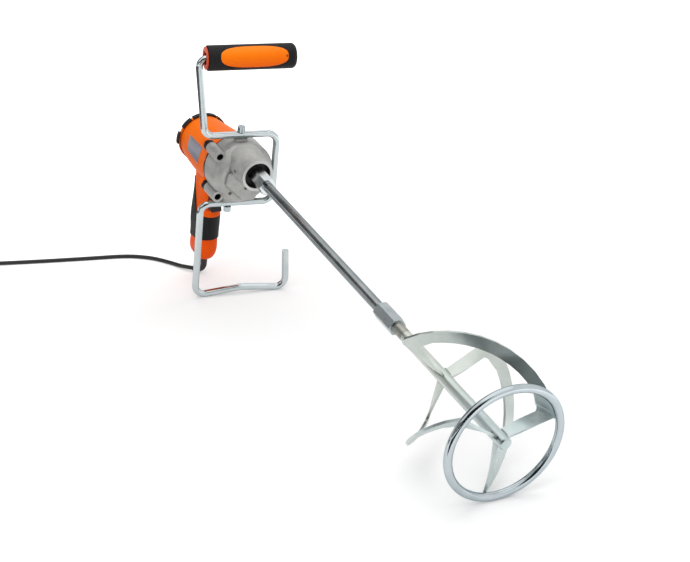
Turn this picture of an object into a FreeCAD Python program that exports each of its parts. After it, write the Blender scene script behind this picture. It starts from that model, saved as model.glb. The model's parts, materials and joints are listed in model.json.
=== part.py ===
import FreeCAD, Part
import Sketcher
import math
import os
import re

# A hand-held mixing drill with its wire frame and whisk, resting on the foot of the frame and the whisk's
# ring. Tool frame: origin on the spindle axis at the nose rim, +Y back along the spindle, +Z up, +X to
# the right.

sizes = {
    # resting pose: slope of the spindle, and the nose's place in the row's frame
    "tilt": 11.53, "rest_x": -2.005, "rest_y": 201.961,
    # gear case, round about an axis below the spindle
    "case_radius": 42, "case_drop": 18, "case_face": 33, "case_front": 46, "case_back": 72, "case_wall": 3.5,
    "face_radius": 33, "case_rounding": 5, "face_rounding": 6,
    "cavity_front": 42, "nose_radius": 21, "nose_neck": 14, "nose_foot_radius": 25, "nose_bore_radius": 17.5,
    "nose_shoulder": 28, "nose_throat_radius": 12,
    "ear_radius": 7.5, "ear_out": 2.4, "ear_angle": 40, "ear_front": 43, "ear_back": 88, "screw_seat": 56,
    "screw_radius": 2.5, "screw_head_radius": 4.2, "screw_head_high": 5, "screw_play": 0.1, "screw_way": 26,
    "lobe_radius": 14.5, "lobe_front": 28, "lobe_rounding": 3, "lobe_foot_x": 4, "lobe_foot_z": -43,
    "saddle_radius": 8.5, "saddle_high": 2.5,
    # bearing plate between the gear case and the motor housing
    "plate_thick": 3, "plate_inset": 1, "plate_play": 0.2, "spigot_radius": 33, "spigot_long": 5,
    # gear train
    "motor_drop": 30, "pressure_angle": 25, "tooth_shift": 0.4, "backlash": 0.12,
    "slow_module": 1.2, "slow_pinion_teeth": 10, "slow_gear_teeth": 30,
    "fast_module": 0.85, "fast_pinion_teeth": 7, "fast_gear_teeth": 38,
    "slow_gear_start": 44, "slow_gear_wide": 8, "fast_gear_start": 56, "fast_gear_wide": 8, "pinion_over": 1,
    "running_fit": 0.05, "seat_fit": 0.03,
    # spindle, its bearings and seal
    "spindle_end": 8, "spindle_end_radius": 10, "spindle_radius": 8.5, "spindle_tail_radius": 6,
    "socket_radius": 7,
    "socket_deep": 24, "spindle_bearing_wide": 11, "tail_bearing_radius": 10.5, "tail_bearing_wide": 7,
    "seal_wide": 5,
    "layshaft_radius": 4, "bush_radius": 6, "bush_long": 8,
    # motor
    "armature_shaft_radius": 4, "motor_bearing_radius": 11, "motor_bearing_wide": 7, "rear_journal_radius": 3,
    "rear_bearing_radius": 9.5, "rear_bearing_wide": 6, "rear_bearing_start": 165,
    "stator_radius": 27.5, "stator_bore_radius": 17.4, "stator_start": 100, "stator_long": 40,
    "pole_slot_radius": 23.5,
    "pole_slot_half": 11, "coil_over": 6, "coil_gap": 0.3,
    "armature_radius": 16.6, "winding_radius": 14, "winding_over": 6,
    "commutator_radius": 10.5, "commutator_start": 150, "commutator_long": 12,
    "fan_start": 84, "fan_radius": 25.5, "fan_disc": 2, "fan_high": 7, "fan_blades": 9,
    "fan_blade_thick": 1.6,
    "fan_hub_radius": 9,
    "brush_wide": 6, "brush_high": 8, "holder_wall": 1.2, "holder_start": 13,
    # motor housing, a clamshell of two halves
    "barrel_front_radius": 40, "barrel_front_drop": 19.5, "barrel_mid_radius": 37.5, "barrel_mid_drop": 26.5,
    "barrel_mid": 125, "barrel_back_radius": 32.5, "barrel_back": 176, "fan_room_radius": 27.2,
    "rear_room_radius": 26,
    "fan_room_end": 97, "split_gap": 0.1,
    # pistol grip: sections down the handle, each with its middle, half depth and half width
    "neck_drop": 34, "neck_middle": 146, "neck_half_depth": 29, "neck_half_width": 23,
    "root_drop": 68, "root_middle": 146, "root_half_depth": 24, "root_half_width": 16.5,
    "hand_drop": 98, "hand_middle": 150, "hand_half_depth": 22, "hand_half_width": 15,
    "palm_drop": 145, "palm_middle": 154, "palm_half_depth": 22.5, "palm_half_width": 16,
    "heel_drop": 176, "heel_middle": 154.5, "heel_half_depth": 22.5, "heel_half_width": 16,
    "toe_drop": 190, "toe_middle": 155.5, "toe_half_depth": 21.5, "toe_half_width": 14.5,
    "sole_drop": 197, "sole_half_depth": 17, "sole_half_width": 10,
    "pad_thick": 1.4, "pad_top_front": 125.5, "pad_top_back": 79, "pad_low_front": 161, "pad_low_back": 170,
    "pad_corner_front": 147, "pad_corner_back": 163, "rest_drop": 115, "rest_high": 10, "rest_out": 2.6,
    "rest_back": 8,
    # switch, trigger and lock button in the grip
    "trigger_half_width": 7.5, "trigger_top_drop": 86, "trigger_low_drop": 112, "trigger_front": 117,
    "trigger_belly": 4, "trigger_back": 137, "trigger_play": 0.3, "trigger_stem_radius": 3, "trigger_stem": 6,
    "trigger_travel": 7, "switch_front": 145, "switch_back": 164, "switch_top_drop": 78,
    "switch_low_drop": 118,
    "switch_half_width": 9.5, "switch_play": 0.2,
    "button_radius": 4, "button_y": 151, "button_drop": 88, "button_inner": 13.4, "button_outer": 19.2,
    "capacitor_radius": 6.5, "capacitor_long": 18, "capacitor_y": 152, "capacitor_drop": 140,
    # housing screws, along X
    "joint_screw_radius": 1.6, "joint_head_radius": 3.2, "joint_head_high": 2.6, "joint_reach": 9,
    "joint_way": 20,
    "barrel_screw_along": 90, "barrel_screw_high": 9.5, "neck_screw_front": 132,
    "neck_screw_back": 160, "neck_screw_drop": 72, "heel_screw_front": 143, "heel_screw_back": 166,
    "heel_screw_drop": 172,
    # rear cap
    "cap_radius": 33.3, "cap_long": 13, "cap_end_radius": 25, "cap_shoulder": 6, "cap_lip": 6,
    "cap_lip_wall": 2.4,
    "vent_count": 14, "vent_wide": 3, "vent_deep": 6, "cap_boss_wall": 3,
    # frame: one bent bar in a plane that is swung about the tool's Z axis
    "bar_radius": 4.5, "bar_y": 58, "bar_swing": 10, "bend_radius": 13, "grip_bend_radius": 11,
    "kink_radius": 40,
    "yoke_gap": 0.4, "grip_up": 138.5, "riser_out": 61, "foot_out": 48.5,
    "kink_along": 14, "kink_rise": 6.5, "tip_along": 76, "tip_lean": 4, "tip_high": 56,
    "bolt_radius": 3, "bolt_head_radius": 5, "bolt_head_high": 7, "bolt_deep": 5, "low_bolt_along": -12,
    # auxiliary grip on the bar
    "sleeve_start": -51, "sleeve_end": 63.3, "sleeve_radius": 16.1, "sleeve_rounding": 6,
    "sleeve_end_wall": 5,
    "core_radius": 12.4, "core_recess": 2.8, "core_slots": 6, "core_slot_wide": 3, "core_slot_deep": 9,
    "core_slot_inner": 7, "inlay_middle": 7.3, "inlay_half_long": 42.5, "inlay_half_high": 14.2,
    "inlay_lean": 33, "inlay_deep": 2,
    "inlay_proud": 0.3, "inlay_fit": 0.1,
    # extension rod, coupling and whisk
    "collar_flats": 20, "collar_end": -31, "rod_radius": 6.5, "stud_radius": 6.95,
    "coupling_flats": 19, "coupling_start": -339, "coupling_end": -379, "coupling_chamfer": 2,
    "rod_in_coupling": 18, "whisk_stud_end": -399, "whisk_stud_radius": 6.8, "whisk_rod_radius": 7.2,
    "whisk_over": 3,
    "ring_reach": 610, "ring_mean_radius": 65.4, "ring_wire_radius": 4.6,
    "blade_high": 128.55, "blade_rise": 9, "blade_lift": 5.45, "blade_top_radius": 70,
    "blade_low_radius": 65.5,
    "blade_bulge": 8.5,
    "blade_wide": 13.5, "blade_thick": 3, "blade_turn": -124, "blade_angle": 137, "first_spacing": 113,
    "second_spacing": 116, "blade_corner": 9, "blade_low_corner": 3, "blade_inner_corner": 7,
    "weld_gap": 0.05,
    # mains lead
    "cord_radius": 2.8, "gland_radius": 5.2, "gland_flange_radius": 8, "gland_flange": 3, "gland_in": 9,
    "gland_y": 150,
    "gland_bend": 12, "gland_out": 13, "gland_tail": 6, "gland_tail_radius": 3.7, "clamp_high": 6,
    "lead_first": 11, "lead_last": 34,
    "coil_radius": 44.5, "coil_step": 6.2, "coil_lift": 1.4, "coil_half_turns": 7, "tail_long": 46,
    "tie_wide": 6, "tie_thick": 1.2, "tie_gap": 0.3,
    "plug_long": 38, "plug_wide": 36, "plug_neck": 12, "plug_neck_radius": 5.5, "plug_rounding": 5,
    "pin_radius": 2.4, "pin_long": 18.5, "pin_apart": 19, "pin_in_plug": 12, "pin_root_radius": 2,
    "pin_step": 0.5,
}

doc = FreeCAD.newDocument("MixingDrill")
dims = doc.addObject("Spreadsheet::Sheet", "Dims")
for row, (name, value) in enumerate(sizes.items(), start=1):
    dims.set("A%d" % row, name)
    dims.set("B%d" % row, str(value))
    dims.setAlias("B%d" % row, name)
doc.recompute()

Vec = FreeCAD.Vector
subparts = {}


def in_sheet(text):
    return re.sub(r"[a-z][a-z_]*[a-z]",
        lambda m: "Dims." + m.group(0) if m.group(0) in sizes else m.group(0), text)


def size(text):
    return float(dims.evalExpression(in_sheet(text)))


def bind(obj, prop, text):
    obj.setExpression(prop, in_sheet(text))


# Resting pose: the ring and the foot of the frame stand on z = 0.
nose_height = "(ring_mean_radius * cos(tilt) + ring_wire_radius + ring_reach * sin(tilt))"
tool_frame = FreeCAD.Placement(
    Vec(size("rest_x"), size("rest_y"), size(nose_height)), FreeCAD.Rotation(Vec(1, 0, 0), size("tilt")))
frame_plane = tool_frame.multiply(
    FreeCAD.Placement(Vec(0, size("bar_y"), 0), FreeCAD.Rotation(Vec(0, 0, 1), -size("bar_swing"))))


# The frame's yoke stands round the case: beside it by a gap, above and below it by the saddles.
yoke_half_width = "((case_radius + yoke_gap + bar_radius) / cos(bar_swing))"
yoke_half_high = "(case_radius + saddle_high + bar_radius)"
blade_foot = "(-ring_reach + blade_lift)"
blade_root = "(-ring_reach + blade_lift + blade_high)"
whisk_end = "(-ring_reach - whisk_over)"


def keep(obj, label, frame=tool_frame, x="0", y="0", z="0"):
    obj.Label = label
    obj.Placement = frame.multiply(FreeCAD.Placement(Vec(size(x), size(y), size(z)), FreeCAD.Rotation()))
    subparts[label] = obj
    return obj


def keep_shape(shape, label, frame=tool_frame):
    obj = doc.addObject("Part::Feature", label)
    obj.Shape = shape
    return keep(obj, label, frame)


# Sketches and features of a body.
def new_body(name):
    return doc.addObject("PartDesign::Body", name)


def new_sketch(body, plane, offset="0"):
    sketch = body.newObject("Sketcher::SketchObject", body.Name + "Sketch")
    support = [f for f in body.Origin.OriginFeatures if f.Role == plane][0]
    sketch.AttachmentSupport = [(support, "")]
    sketch.MapMode = "FlatFace"
    bind(sketch, "AttachmentOffset.Base.z", offset)
    return sketch


def pin(sketch, geometry, point, across, up):
    for kind, text in (("DistanceX", across), ("DistanceY", up)):
        index = sketch.addConstraint(Sketcher.Constraint(kind, geometry, point, size(text)))
        bind(sketch, "Constraints[%d]" % index, text)


def polygon(body, plane, points, offset="0"):
    sketch = new_sketch(body, plane, offset)
    corners = [Vec(size(u), size(v), 0) for u, v in points]
    count = len(corners)
    for i in range(count):
        sketch.addGeometry(Part.LineSegment(corners[i], corners[(i + 1) % count]), False)
    for i in range(count):
        sketch.addConstraint(Sketcher.Constraint("Coincident", i, 2, (i + 1) % count, 1))
        pin(sketch, i, 1, *points[i])
    return sketch


def circles(body, plane, spots, offset="0"):
    sketch = new_sketch(body, plane, offset)
    for u, v, r in spots:
        index = sketch.addGeometry(Part.Circle(Vec(size(u), size(v), 0), Vec(0, 0, 1), size(r)), False)
        pin(sketch, index, 3, u, v)
        radius = sketch.addConstraint(Sketcher.Constraint("Radius", index, size(r)))
        bind(sketch, "Constraints[%d]" % radius, r)
    return sketch


def stadium(body, plane, middle, half_long, radius, offset="0"):
    # two half circles joined by two straight sides, long along the sketch's second axis
    sketch = new_sketch(body, plane, offset)
    mid, r = size(middle), size(radius)
    reach = size(half_long) - r
    top, low = Vec(0, mid + reach, 0), Vec(0, mid - reach, 0)
    sketch.addGeometry(Part.ArcOfCircle(Part.Circle(top, Vec(0, 0, 1), r), 0, math.pi), False)
    sketch.addGeometry(Part.LineSegment(top - Vec(r, 0, 0), low - Vec(r, 0, 0)), False)
    sketch.addGeometry(Part.ArcOfCircle(Part.Circle(low, Vec(0, 0, 1), r), math.pi, 2 * math.pi), False)
    sketch.addGeometry(Part.LineSegment(low + Vec(r, 0, 0), top + Vec(r, 0, 0)), False)
    for a, b in ((0, 1), (1, 2), (2, 3), (3, 0)):
        sketch.addConstraint(Sketcher.Constraint("Tangent", a, 2, b, 1))
    sketch.addConstraint(Sketcher.Constraint("Equal", 0, 2))
    pin(sketch, 0, 3, "0", "%s + %s - %s" % (middle, half_long, radius))
    pin(sketch, 2, 3, "0", "%s - %s + %s" % (middle, half_long, radius))
    index = sketch.addConstraint(Sketcher.Constraint("Radius", 0, r))
    bind(sketch, "Constraints[%d]" % index, radius)
    return sketch


def swing(body, kind, sketch):
    feature = body.newObject("PartDesign::" + kind, body.Name + kind)
    feature.Profile = sketch
    feature.ReferenceAxis = (sketch, ["V_Axis"])
    feature.Angle = 360
    return feature


def reach(body, kind, sketch, length, back=False):
    feature = body.newObject("PartDesign::" + kind, body.Name + kind)
    feature.Profile = sketch
    feature.Reversed = back
    bind(feature, "Length", length)
    return feature


def loft(body, kind, sections, ruled=False):
    feature = body.newObject("PartDesign::" + kind, body.Name + kind)
    feature.Profile = sections[0]
    feature.Sections = sections[1:]
    feature.Ruled = ruled
    return feature


def soften(body, kind, amount, chosen):
    # fillets or chamfers the edges of the body's tip that the test picks
    doc.recompute()
    tip = body.Tip
    names = ["Edge%d" % (i + 1) for i, edge in enumerate(tip.Shape.Edges) if chosen(edge)]
    feature = body.newObject("PartDesign::" + kind, body.Name + kind)
    feature.Base = (tip, names)
    bind(feature, "Radius" if kind == "Fillet" else "Size", amount)
    return feature


def around(body, feature, count, axis="Y_Axis"):
    pattern = body.newObject("PartDesign::PolarPattern", body.Name + "Ring")
    pattern.Originals = [feature]
    pattern.Axis = ([f for f in body.Origin.OriginFeatures if f.Role == axis][0], [""])
    pattern.Angle = 360
    bind(pattern, "Occurrences", count)
    body.Tip = pattern
    return pattern


def turned(label, profile, frame=tool_frame, **place):
    # a piece turned about its own Y axis; the profile gives radius and place along the axis
    body = new_body(label)
    swing(body, "Revolution", polygon(body, "XY_Plane", profile))
    return keep(body, label, frame, **place)


def ring_profile(inner, outer, start, long):
    end = "%s + %s" % (start, long)
    return [(inner, start), (outer, start), (outer, end), (inner, end)]


def circle_edge(radius, at):
    # picks full circles of one radius, at one place along Y
    def test(edge):
        curve = edge.Curve
        if not isinstance(curve, Part.Circle) or abs(curve.Radius - size(radius)) > 0.01:
            return False
        return abs(curve.Center.y - size(at)) < 0.01
    return test


# Gears: involute flanks from a few points, teeth thinned by half the backlash.
def gear_wire(teeth, module, shift, centre, tooth_angle):
    pressure = math.radians(size("pressure_angle"))
    pitch_radius = module * teeth / 2
    base_radius = pitch_radius * math.cos(pressure)
    tip_radius = pitch_radius + module * (0.9 + shift)
    root_radius = pitch_radius - module * (1.2 - shift)
    thickness = module * (math.pi / 2 + 2 * shift * math.tan(pressure)) - size("backlash") / 2
    half_at_base = thickness / (2 * pitch_radius) + math.tan(pressure) - pressure
    start = max(base_radius, root_radius)
    flank = [(root_radius, None)] if root_radius < base_radius else []
    for i in range(3):
        flank.append((start + (tip_radius - start) * i / 2, i))
    points = []
    for tooth in range(teeth):
        middle = tooth_angle + 2 * math.pi * tooth / teeth
        side = []
        for radius, _ in flank:
            roll = math.acos(min(1.0, base_radius / radius))
            side.append((radius, half_at_base - (math.tan(roll) - roll)))
        points += [(r, middle - a) for r, a in side] + [(r, middle + a) for r, a in reversed(side)]
    corners = [Vec(centre[0] + r * math.cos(a), 0, centre[1] + r * math.sin(a)) for r, a in points]
    return Part.makePolygon(corners + corners[:1])


def gear_solid(teeth, module, shift, centre, tooth_angle, start, wide):
    wire = gear_wire(int(teeth), module, shift, centre, tooth_angle)
    wire.translate(Vec(0, start, 0))
    return Part.Face(wire).extrude(Vec(0, wide, 0))


def bar_between(radius, x, z, start, end):
    return Part.makeCylinder(radius, abs(end - start), Vec(x, min(start, end), z), Vec(0, 1, 0))


# The lay shaft stands where both pairs of gears mesh.
slow_centre = size("slow_module * (slow_pinion_teeth + slow_gear_teeth) / 2")
fast_centre = size("fast_module * (fast_pinion_teeth + fast_gear_teeth) / 2")
motor_z = -size("motor_drop")
lay_z = (fast_centre ** 2 - slow_centre ** 2 - motor_z ** 2) / (-2 * motor_z)
lay_x = -math.sqrt(slow_centre ** 2 - lay_z ** 2)
to_spindle = math.atan2(-lay_z, -lay_x)
to_lay = math.atan2(lay_z - motor_z, lay_x)
print("lay shaft at x %.3f z %.3f" % (lay_x, lay_z))
for alias, number in (("lay_x", lay_x), ("lay_z", lay_z)):
    row += 1
    dims.set("A%d" % row, alias)
    dims.set("B%d" % row, "%.6f" % number)
    dims.setAlias("B%d" % row, alias)
    sizes[alias] = number
doc.recompute()

# Gear case: a rounded drum, a long nose on the spindle axis, a lobe over the lay shaft, three screw ears,
# two saddles.
case = new_body("GearCase")
swing(case, "Revolution", polygon(case, "XY_Plane", [
    ("0", "case_face"), ("face_radius", "case_face"), ("case_radius", "case_front"), ("case_radius",
    "case_back"),
    ("case_radius - case_wall", "case_back"), ("case_radius - case_wall", "case_front + 1"),
    ("face_radius + 3", "cavity_front"), ("0", "cavity_front")],
    "-case_drop"))
soften(case, "Fillet", "face_rounding", circle_edge("face_radius", "case_face"))
soften(case, "Fillet", "case_rounding", circle_edge("case_radius", "case_front"))
swing(case, "Revolution", polygon(case, "XY_Plane", [
    ("0", "0"), ("nose_radius", "0"), ("nose_radius", "nose_neck"), ("nose_foot_radius", "cavity_front"),
    ("0", "cavity_front")]))
reach(case, "Pad", polygon(case, "XZ_Plane", [
    ("lay_x - lobe_radius * 0.8", "lay_z + lobe_radius * 0.6"), ("lay_x", "lay_z + lobe_radius"),
    ("lay_x + lobe_radius * 0.8", "lay_z + lobe_radius * 0.6"),
    ("lobe_foot_x + lobe_radius", "lobe_foot_z + lobe_radius * 0.2"),
    ("lobe_foot_x + lobe_radius * 0.5", "lobe_foot_z - lobe_radius * 0.5"),
    ("lobe_foot_x - lobe_radius * 0.5", "lobe_foot_z - lobe_radius * 0.5"),
    ("lay_x - lobe_radius", "lay_z - lobe_radius * 0.4")], "-lobe_front"), "cavity_front - lobe_front", True)
soften(case, "Fillet", "lobe_rounding", lambda edge: abs(edge.CenterOfMass.y - size("lobe_front")) < 0.01)
ears = [("%s * (case_radius + ear_out) * cos(ear_angle)" % sx,
         "-case_drop + %s * (case_radius + ear_out) * sin(ear_angle)" % sz)
        for sx, sz in (("-1", "1"), ("-1", "-1"), ("1", "-1"))]
reach(case, "Pad", circles(case, "XZ_Plane", [(x, z, "ear_radius") for x, z in ears], "-ear_front"),
      "case_back - ear_front", True)
saddle_top = "case_radius + saddle_high - case_drop"
saddle_low = "case_radius + saddle_high + case_drop"
reach(case, "Pad", circles(case, "XY_Plane", [("0", "bar_y", "saddle_radius")], saddle_top),
      "saddle_high + case_wall / 2", True)
low_x = "low_bolt_along * cos(bar_swing)"
low_y = "bar_y - low_bolt_along * sin(bar_swing)"
reach(case, "Pad", circles(case, "XY_Plane", [(low_x, low_y, "saddle_radius")], "-(%s)" % saddle_low),
      "saddle_high + case_wall")
swing(case, "Groove", polygon(case, "XY_Plane", [
    ("0", "0"), ("nose_bore_radius", "0"), ("nose_bore_radius", "nose_shoulder"),
    ("nose_throat_radius", "nose_shoulder"), ("nose_throat_radius", "cavity_front"), ("0", "cavity_front")]))
reach(case, "Pocket", circles(case, "XZ_Plane", [("lay_x", "lay_z", "bush_radius + seat_fit")],
    "-cavity_front"),
      "bush_long", True)
reach(case, "Pocket", circles(case, "XZ_Plane", [(x, z, "screw_radius + screw_play") for x, z in ears],
    "-case_back"),
      "case_back - screw_seat", True)
reach(case, "Pocket", circles(case, "XZ_Plane", [(x, z, "screw_head_radius + screw_play * 3") for x,
    z in ears],
                              "-screw_seat"), "screw_seat - screw_way", True)
reach(case, "Pocket", circles(case, "XY_Plane", [("0", "bar_y", "bolt_radius + screw_play")], saddle_top),
    "bolt_deep")
reach(case, "Pocket", circles(case, "XY_Plane", [(low_x, low_y, "bolt_radius + screw_play")],
    "-(%s)" % saddle_low),
      "bolt_deep", True)
keep(case, "gear_case")

# Bearing plate: closes the gear case and carries the rear bearings of the spindle and lay shaft and the
# motor's front one.
plate = new_body("BearingPlate")
plate_back = "(case_back + plate_thick)"
reach(plate, "Pad", circles(plate, "XZ_Plane", [("0", "-case_drop", "case_radius - plate_inset")],
    "-case_back"),
      "plate_thick", True)
reach(plate, "Pad", circles(plate, "XZ_Plane", [("0", "-barrel_front_drop", "spigot_radius")],
    "-" + plate_back),
      "spigot_long", True)
reach(plate, "Pocket", circles(plate, "XZ_Plane", [
    ("0", "0", "tail_bearing_radius + seat_fit"), ("lay_x", "lay_z", "bush_radius + seat_fit")],
    "-case_back"),
    "bush_long")
reach(plate, "Pocket", circles(plate, "XZ_Plane", [("0", "-motor_drop", "motor_bearing_radius + seat_fit")],
                               "-case_back"), "plate_thick + spigot_long")
keep(plate, "bearing_plate")

# Case screws: socket heads at the bottom of the ears' wells.
screws = new_body("CaseScrews")
reach(screws, "Pad", circles(screws, "XZ_Plane", [(x, z, "screw_radius") for x, z in ears], "-screw_seat"),
      "ear_back - screw_seat - screw_radius", True)
reach(screws, "Pad", circles(screws, "XZ_Plane", [(x, z, "screw_head_radius") for x, z in ears],
    "-screw_seat"),
      "screw_head_high")
reach(screws, "Pocket", circles(screws, "XZ_Plane", [(x, z, "screw_radius * 0.9") for x, z in ears],
                                "-screw_seat + screw_head_high"), "screw_head_high * 0.6")
keep(screws, "case_screws")

# Spindle with its socket, bearings, seal and gear.
spindle_bearing_start = "(nose_shoulder - spindle_bearing_wide)"
turned("spindle", [
    ("socket_radius", "spindle_end"), ("spindle_end_radius", "spindle_end"),
    ("spindle_end_radius", spindle_bearing_start), ("spindle_radius", spindle_bearing_start),
    ("spindle_radius", "slow_gear_start + slow_gear_wide"), ("spindle_tail_radius",
    "slow_gear_start + slow_gear_wide"),
    ("spindle_tail_radius", "case_back + tail_bearing_wide"), ("0", "case_back + tail_bearing_wide"),
    ("0", "spindle_end + socket_deep"), ("socket_radius", "spindle_end + socket_deep")])
turned("spindle_bearing", ring_profile("spindle_radius + running_fit", "nose_bore_radius",
                                       spindle_bearing_start, "spindle_bearing_wide"))
turned("spindle_seal", ring_profile("spindle_end_radius + running_fit", "nose_bore_radius",
                                    spindle_bearing_start + " - seal_wide", "seal_wide"))
turned("spindle_tail_bearing", ring_profile("spindle_tail_radius + running_fit", "tail_bearing_radius",
                                            "case_back", "tail_bearing_wide"))
slow_gear = gear_solid(size("slow_gear_teeth"), size("slow_module"), -size("tooth_shift"), (0, 0),
                       to_spindle + math.pi + math.pi / size("slow_gear_teeth"),
                       size("slow_gear_start"), size("slow_gear_wide"))
slow_gear = slow_gear.cut(bar_between(size("spindle_radius"), 0, 0, size("slow_gear_start - 1"),
                                      size("slow_gear_start + slow_gear_wide + 1")))
keep_shape(slow_gear, "output_gear")

# Lay shaft: its pinion drives the spindle's gear, its gear is driven by the motor's pinion.
lay_front = size("cavity_front - bush_long") + 0.5
lay_back = size("case_back + bush_long") - 0.5
lay_shaft = gear_solid(size("slow_pinion_teeth"), size("slow_module"), size("tooth_shift"), (lay_x, lay_z),
    to_spindle,
                       size("slow_gear_start - pinion_over"), size("slow_gear_wide + 2 * pinion_over"))
lay_shaft = lay_shaft.fuse(bar_between(size("layshaft_radius"), lay_x, lay_z, lay_front, lay_back))
keep_shape(lay_shaft.removeSplitter(), "layshaft")
fast_gear = gear_solid(size("fast_gear_teeth"), size("fast_module"), -size("tooth_shift"), (lay_x, lay_z),
                       to_lay + math.pi + math.pi / size("fast_gear_teeth"),
                       size("fast_gear_start"), size("fast_gear_wide"))
fast_gear = fast_gear.cut(bar_between(size("layshaft_radius"), lay_x, lay_z, size("fast_gear_start - 1"),
                                      size("fast_gear_start + fast_gear_wide + 1")))
keep_shape(fast_gear, "layshaft_gear")
turned("layshaft_bush_front", ring_profile("layshaft_radius + running_fit", "bush_radius",
                                           "cavity_front - bush_long", "bush_long"), x="lay_x", z="lay_z")
turned("layshaft_bush_rear", ring_profile("layshaft_radius + running_fit", "bush_radius", "case_back",
    "bush_long"),
       x="lay_x", z="lay_z")

# Motor: armature on its shaft, between the bearing plate and the rear cap.
stator_end = "(stator_start + stator_long)"
rear_bearing_end = "(rear_bearing_start + rear_bearing_wide)"
fast_pinion = gear_solid(size("fast_pinion_teeth"), size("fast_module"), size("tooth_shift"), (0, motor_z),
    to_lay,
                         size("fast_gear_start - pinion_over"), size("fast_gear_wide + 2 * pinion_over"))
pinion_end = size("fast_gear_start + fast_gear_wide + pinion_over")
shaft = fast_pinion.fuse([
    bar_between(size("armature_shaft_radius"), 0, motor_z, pinion_end, size("rear_bearing_start")),
    bar_between(size("rear_journal_radius"), 0, motor_z, size("rear_bearing_start"), size(rear_bearing_end))])
keep_shape(shaft.removeSplitter(), "armature_shaft")
at_motor = {"z": "-motor_drop"}
turned("motor_bearing_front", ring_profile("armature_shaft_radius + running_fit", "motor_bearing_radius",
                                           "case_back", "motor_bearing_wide"), **at_motor)
turned("motor_bearing_rear", ring_profile("rear_journal_radius + running_fit", "rear_bearing_radius",
                                          "rear_bearing_start", "rear_bearing_wide"), **at_motor)
turned("armature_core", ring_profile("armature_shaft_radius", "armature_radius", "stator_start",
    "stator_long"),
       **at_motor)
winding = new_body("ArmatureWinding")
for start in ("stator_start - winding_over", stator_end):
    swing(winding, "Revolution", polygon(winding, "XY_Plane", ring_profile(
        "armature_shaft_radius", "winding_radius", start, "winding_over")))
winding.AllowCompound = True
keep(winding, "armature_winding", **at_motor)
turned("commutator", ring_profile("armature_shaft_radius", "commutator_radius", "commutator_start",
    "commutator_long"),
       **at_motor)
fan = new_body("CoolingFan")
swing(fan, "Revolution", polygon(fan, "XY_Plane", [
    ("armature_shaft_radius", "fan_start"), ("fan_radius", "fan_start"), ("fan_radius",
    "fan_start + fan_disc"),
    ("fan_hub_radius", "fan_start + fan_disc"), ("fan_hub_radius", "fan_start + fan_high"),
    ("armature_shaft_radius", "fan_start + fan_high")]))
blade = reach(fan, "Pad", polygon(fan, "XZ_Plane", [
    ("-fan_blade_thick / 2", "fan_hub_radius - 0.5"), ("fan_blade_thick / 2", "fan_hub_radius - 0.5"),
    ("fan_blade_thick / 2 + 4", "fan_radius - 1"), ("-fan_blade_thick / 2 + 4", "fan_radius - 1")],
    "-fan_start - fan_disc"), "fan_high - fan_disc", True)
around(fan, blade, "fan_blades")
keep(fan, "cooling_fan", **at_motor)

stator = new_body("StatorCore")
swing(stator, "Revolution", polygon(stator, "XY_Plane", ring_profile(
    "stator_bore_radius", "stator_radius", "stator_start", "stator_long")))
reach(stator, "Pocket", polygon(stator, "XZ_Plane", [
    ("-pole_slot_radius", "-pole_slot_half"), ("pole_slot_radius", "-pole_slot_half"),
    ("pole_slot_radius", "pole_slot_half"), ("-pole_slot_radius", "pole_slot_half")], "-stator_start"),
    "stator_long")
keep(stator, "stator_core", **at_motor)
coils = new_body("FieldCoils")
for start in ("stator_start - coil_over", stator_end + " + coil_gap"):
    swing(coils, "Revolution", polygon(coils, "XY_Plane", ring_profile(
        "stator_bore_radius + coil_gap", "pole_slot_radius", start, "coil_over - coil_gap")))
for side in ("-1", "1"):
    reach(coils, "Pad", polygon(coils, "XZ_Plane", [
        (side + " * (stator_bore_radius + coil_gap)", "-pole_slot_half / 2"),
        (side + " * (pole_slot_radius - coil_gap)", "-pole_slot_half / 2"),
        (side + " * (pole_slot_radius - coil_gap)", "pole_slot_half / 2"),
        (side + " * (stator_bore_radius + coil_gap)", "pole_slot_half / 2")],
        "-stator_start + coil_over / 2"),
        "stator_long + coil_over", True)
keep(coils, "field_coils", **at_motor)

# Brushes in brass holders at both sides of the commutator.
brush_y = "(commutator_start + commutator_long / 2)"


def box_pair(label, half_y, half_z, inner, outer, hollow=None):
    body = new_body(label)
    for side in (False, True):
        sign = "-1" if side else "1"
        reach(body, "Pad", polygon(body, "YZ_Plane", [
            (brush_y + " - " + half_y, "-" + half_z), (brush_y + " + " + half_y, "-" + half_z),
            (brush_y + " + " + half_y, half_z), (brush_y + " - " + half_y, half_z)], sign + " * " + inner),
            outer + " - " + inner, side)
        if hollow:
            reach(body, "Pocket", polygon(body, "YZ_Plane", [
                (brush_y + " - " + hollow[0], "-" + hollow[1]), (brush_y + " + " + hollow[0],
                "-" + hollow[1]),
                (brush_y + " + " + hollow[0], hollow[1]), (brush_y + " - " + hollow[0], hollow[1])],
                sign + " * " + inner), outer + " - " + inner, not side)
    body.AllowCompound = True
    return keep(body, label, **at_motor)


box_pair("carbon_brushes", "brush_wide / 2", "brush_high / 2", "(commutator_radius + running_fit)",
         "(holder_start + 9)")
box_pair("brush_holders", "(brush_wide / 2 + holder_wall)", "(brush_high / 2 + holder_wall)", "holder_start",
         "(rear_room_radius - 1)", ("(brush_wide / 2 + running_fit)", "(brush_high / 2 + running_fit)"))

# Motor housing: each half is the barrel and the pistol grip lofted through their sections, bored for the
# motor.
grip_sections = [("neck", "neck"), ("root", "root"), ("hand", "hand"), ("palm", "palm"), ("heel", "heel"),
                 ("toe", "toe"), ("sole", "toe")]


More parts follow.
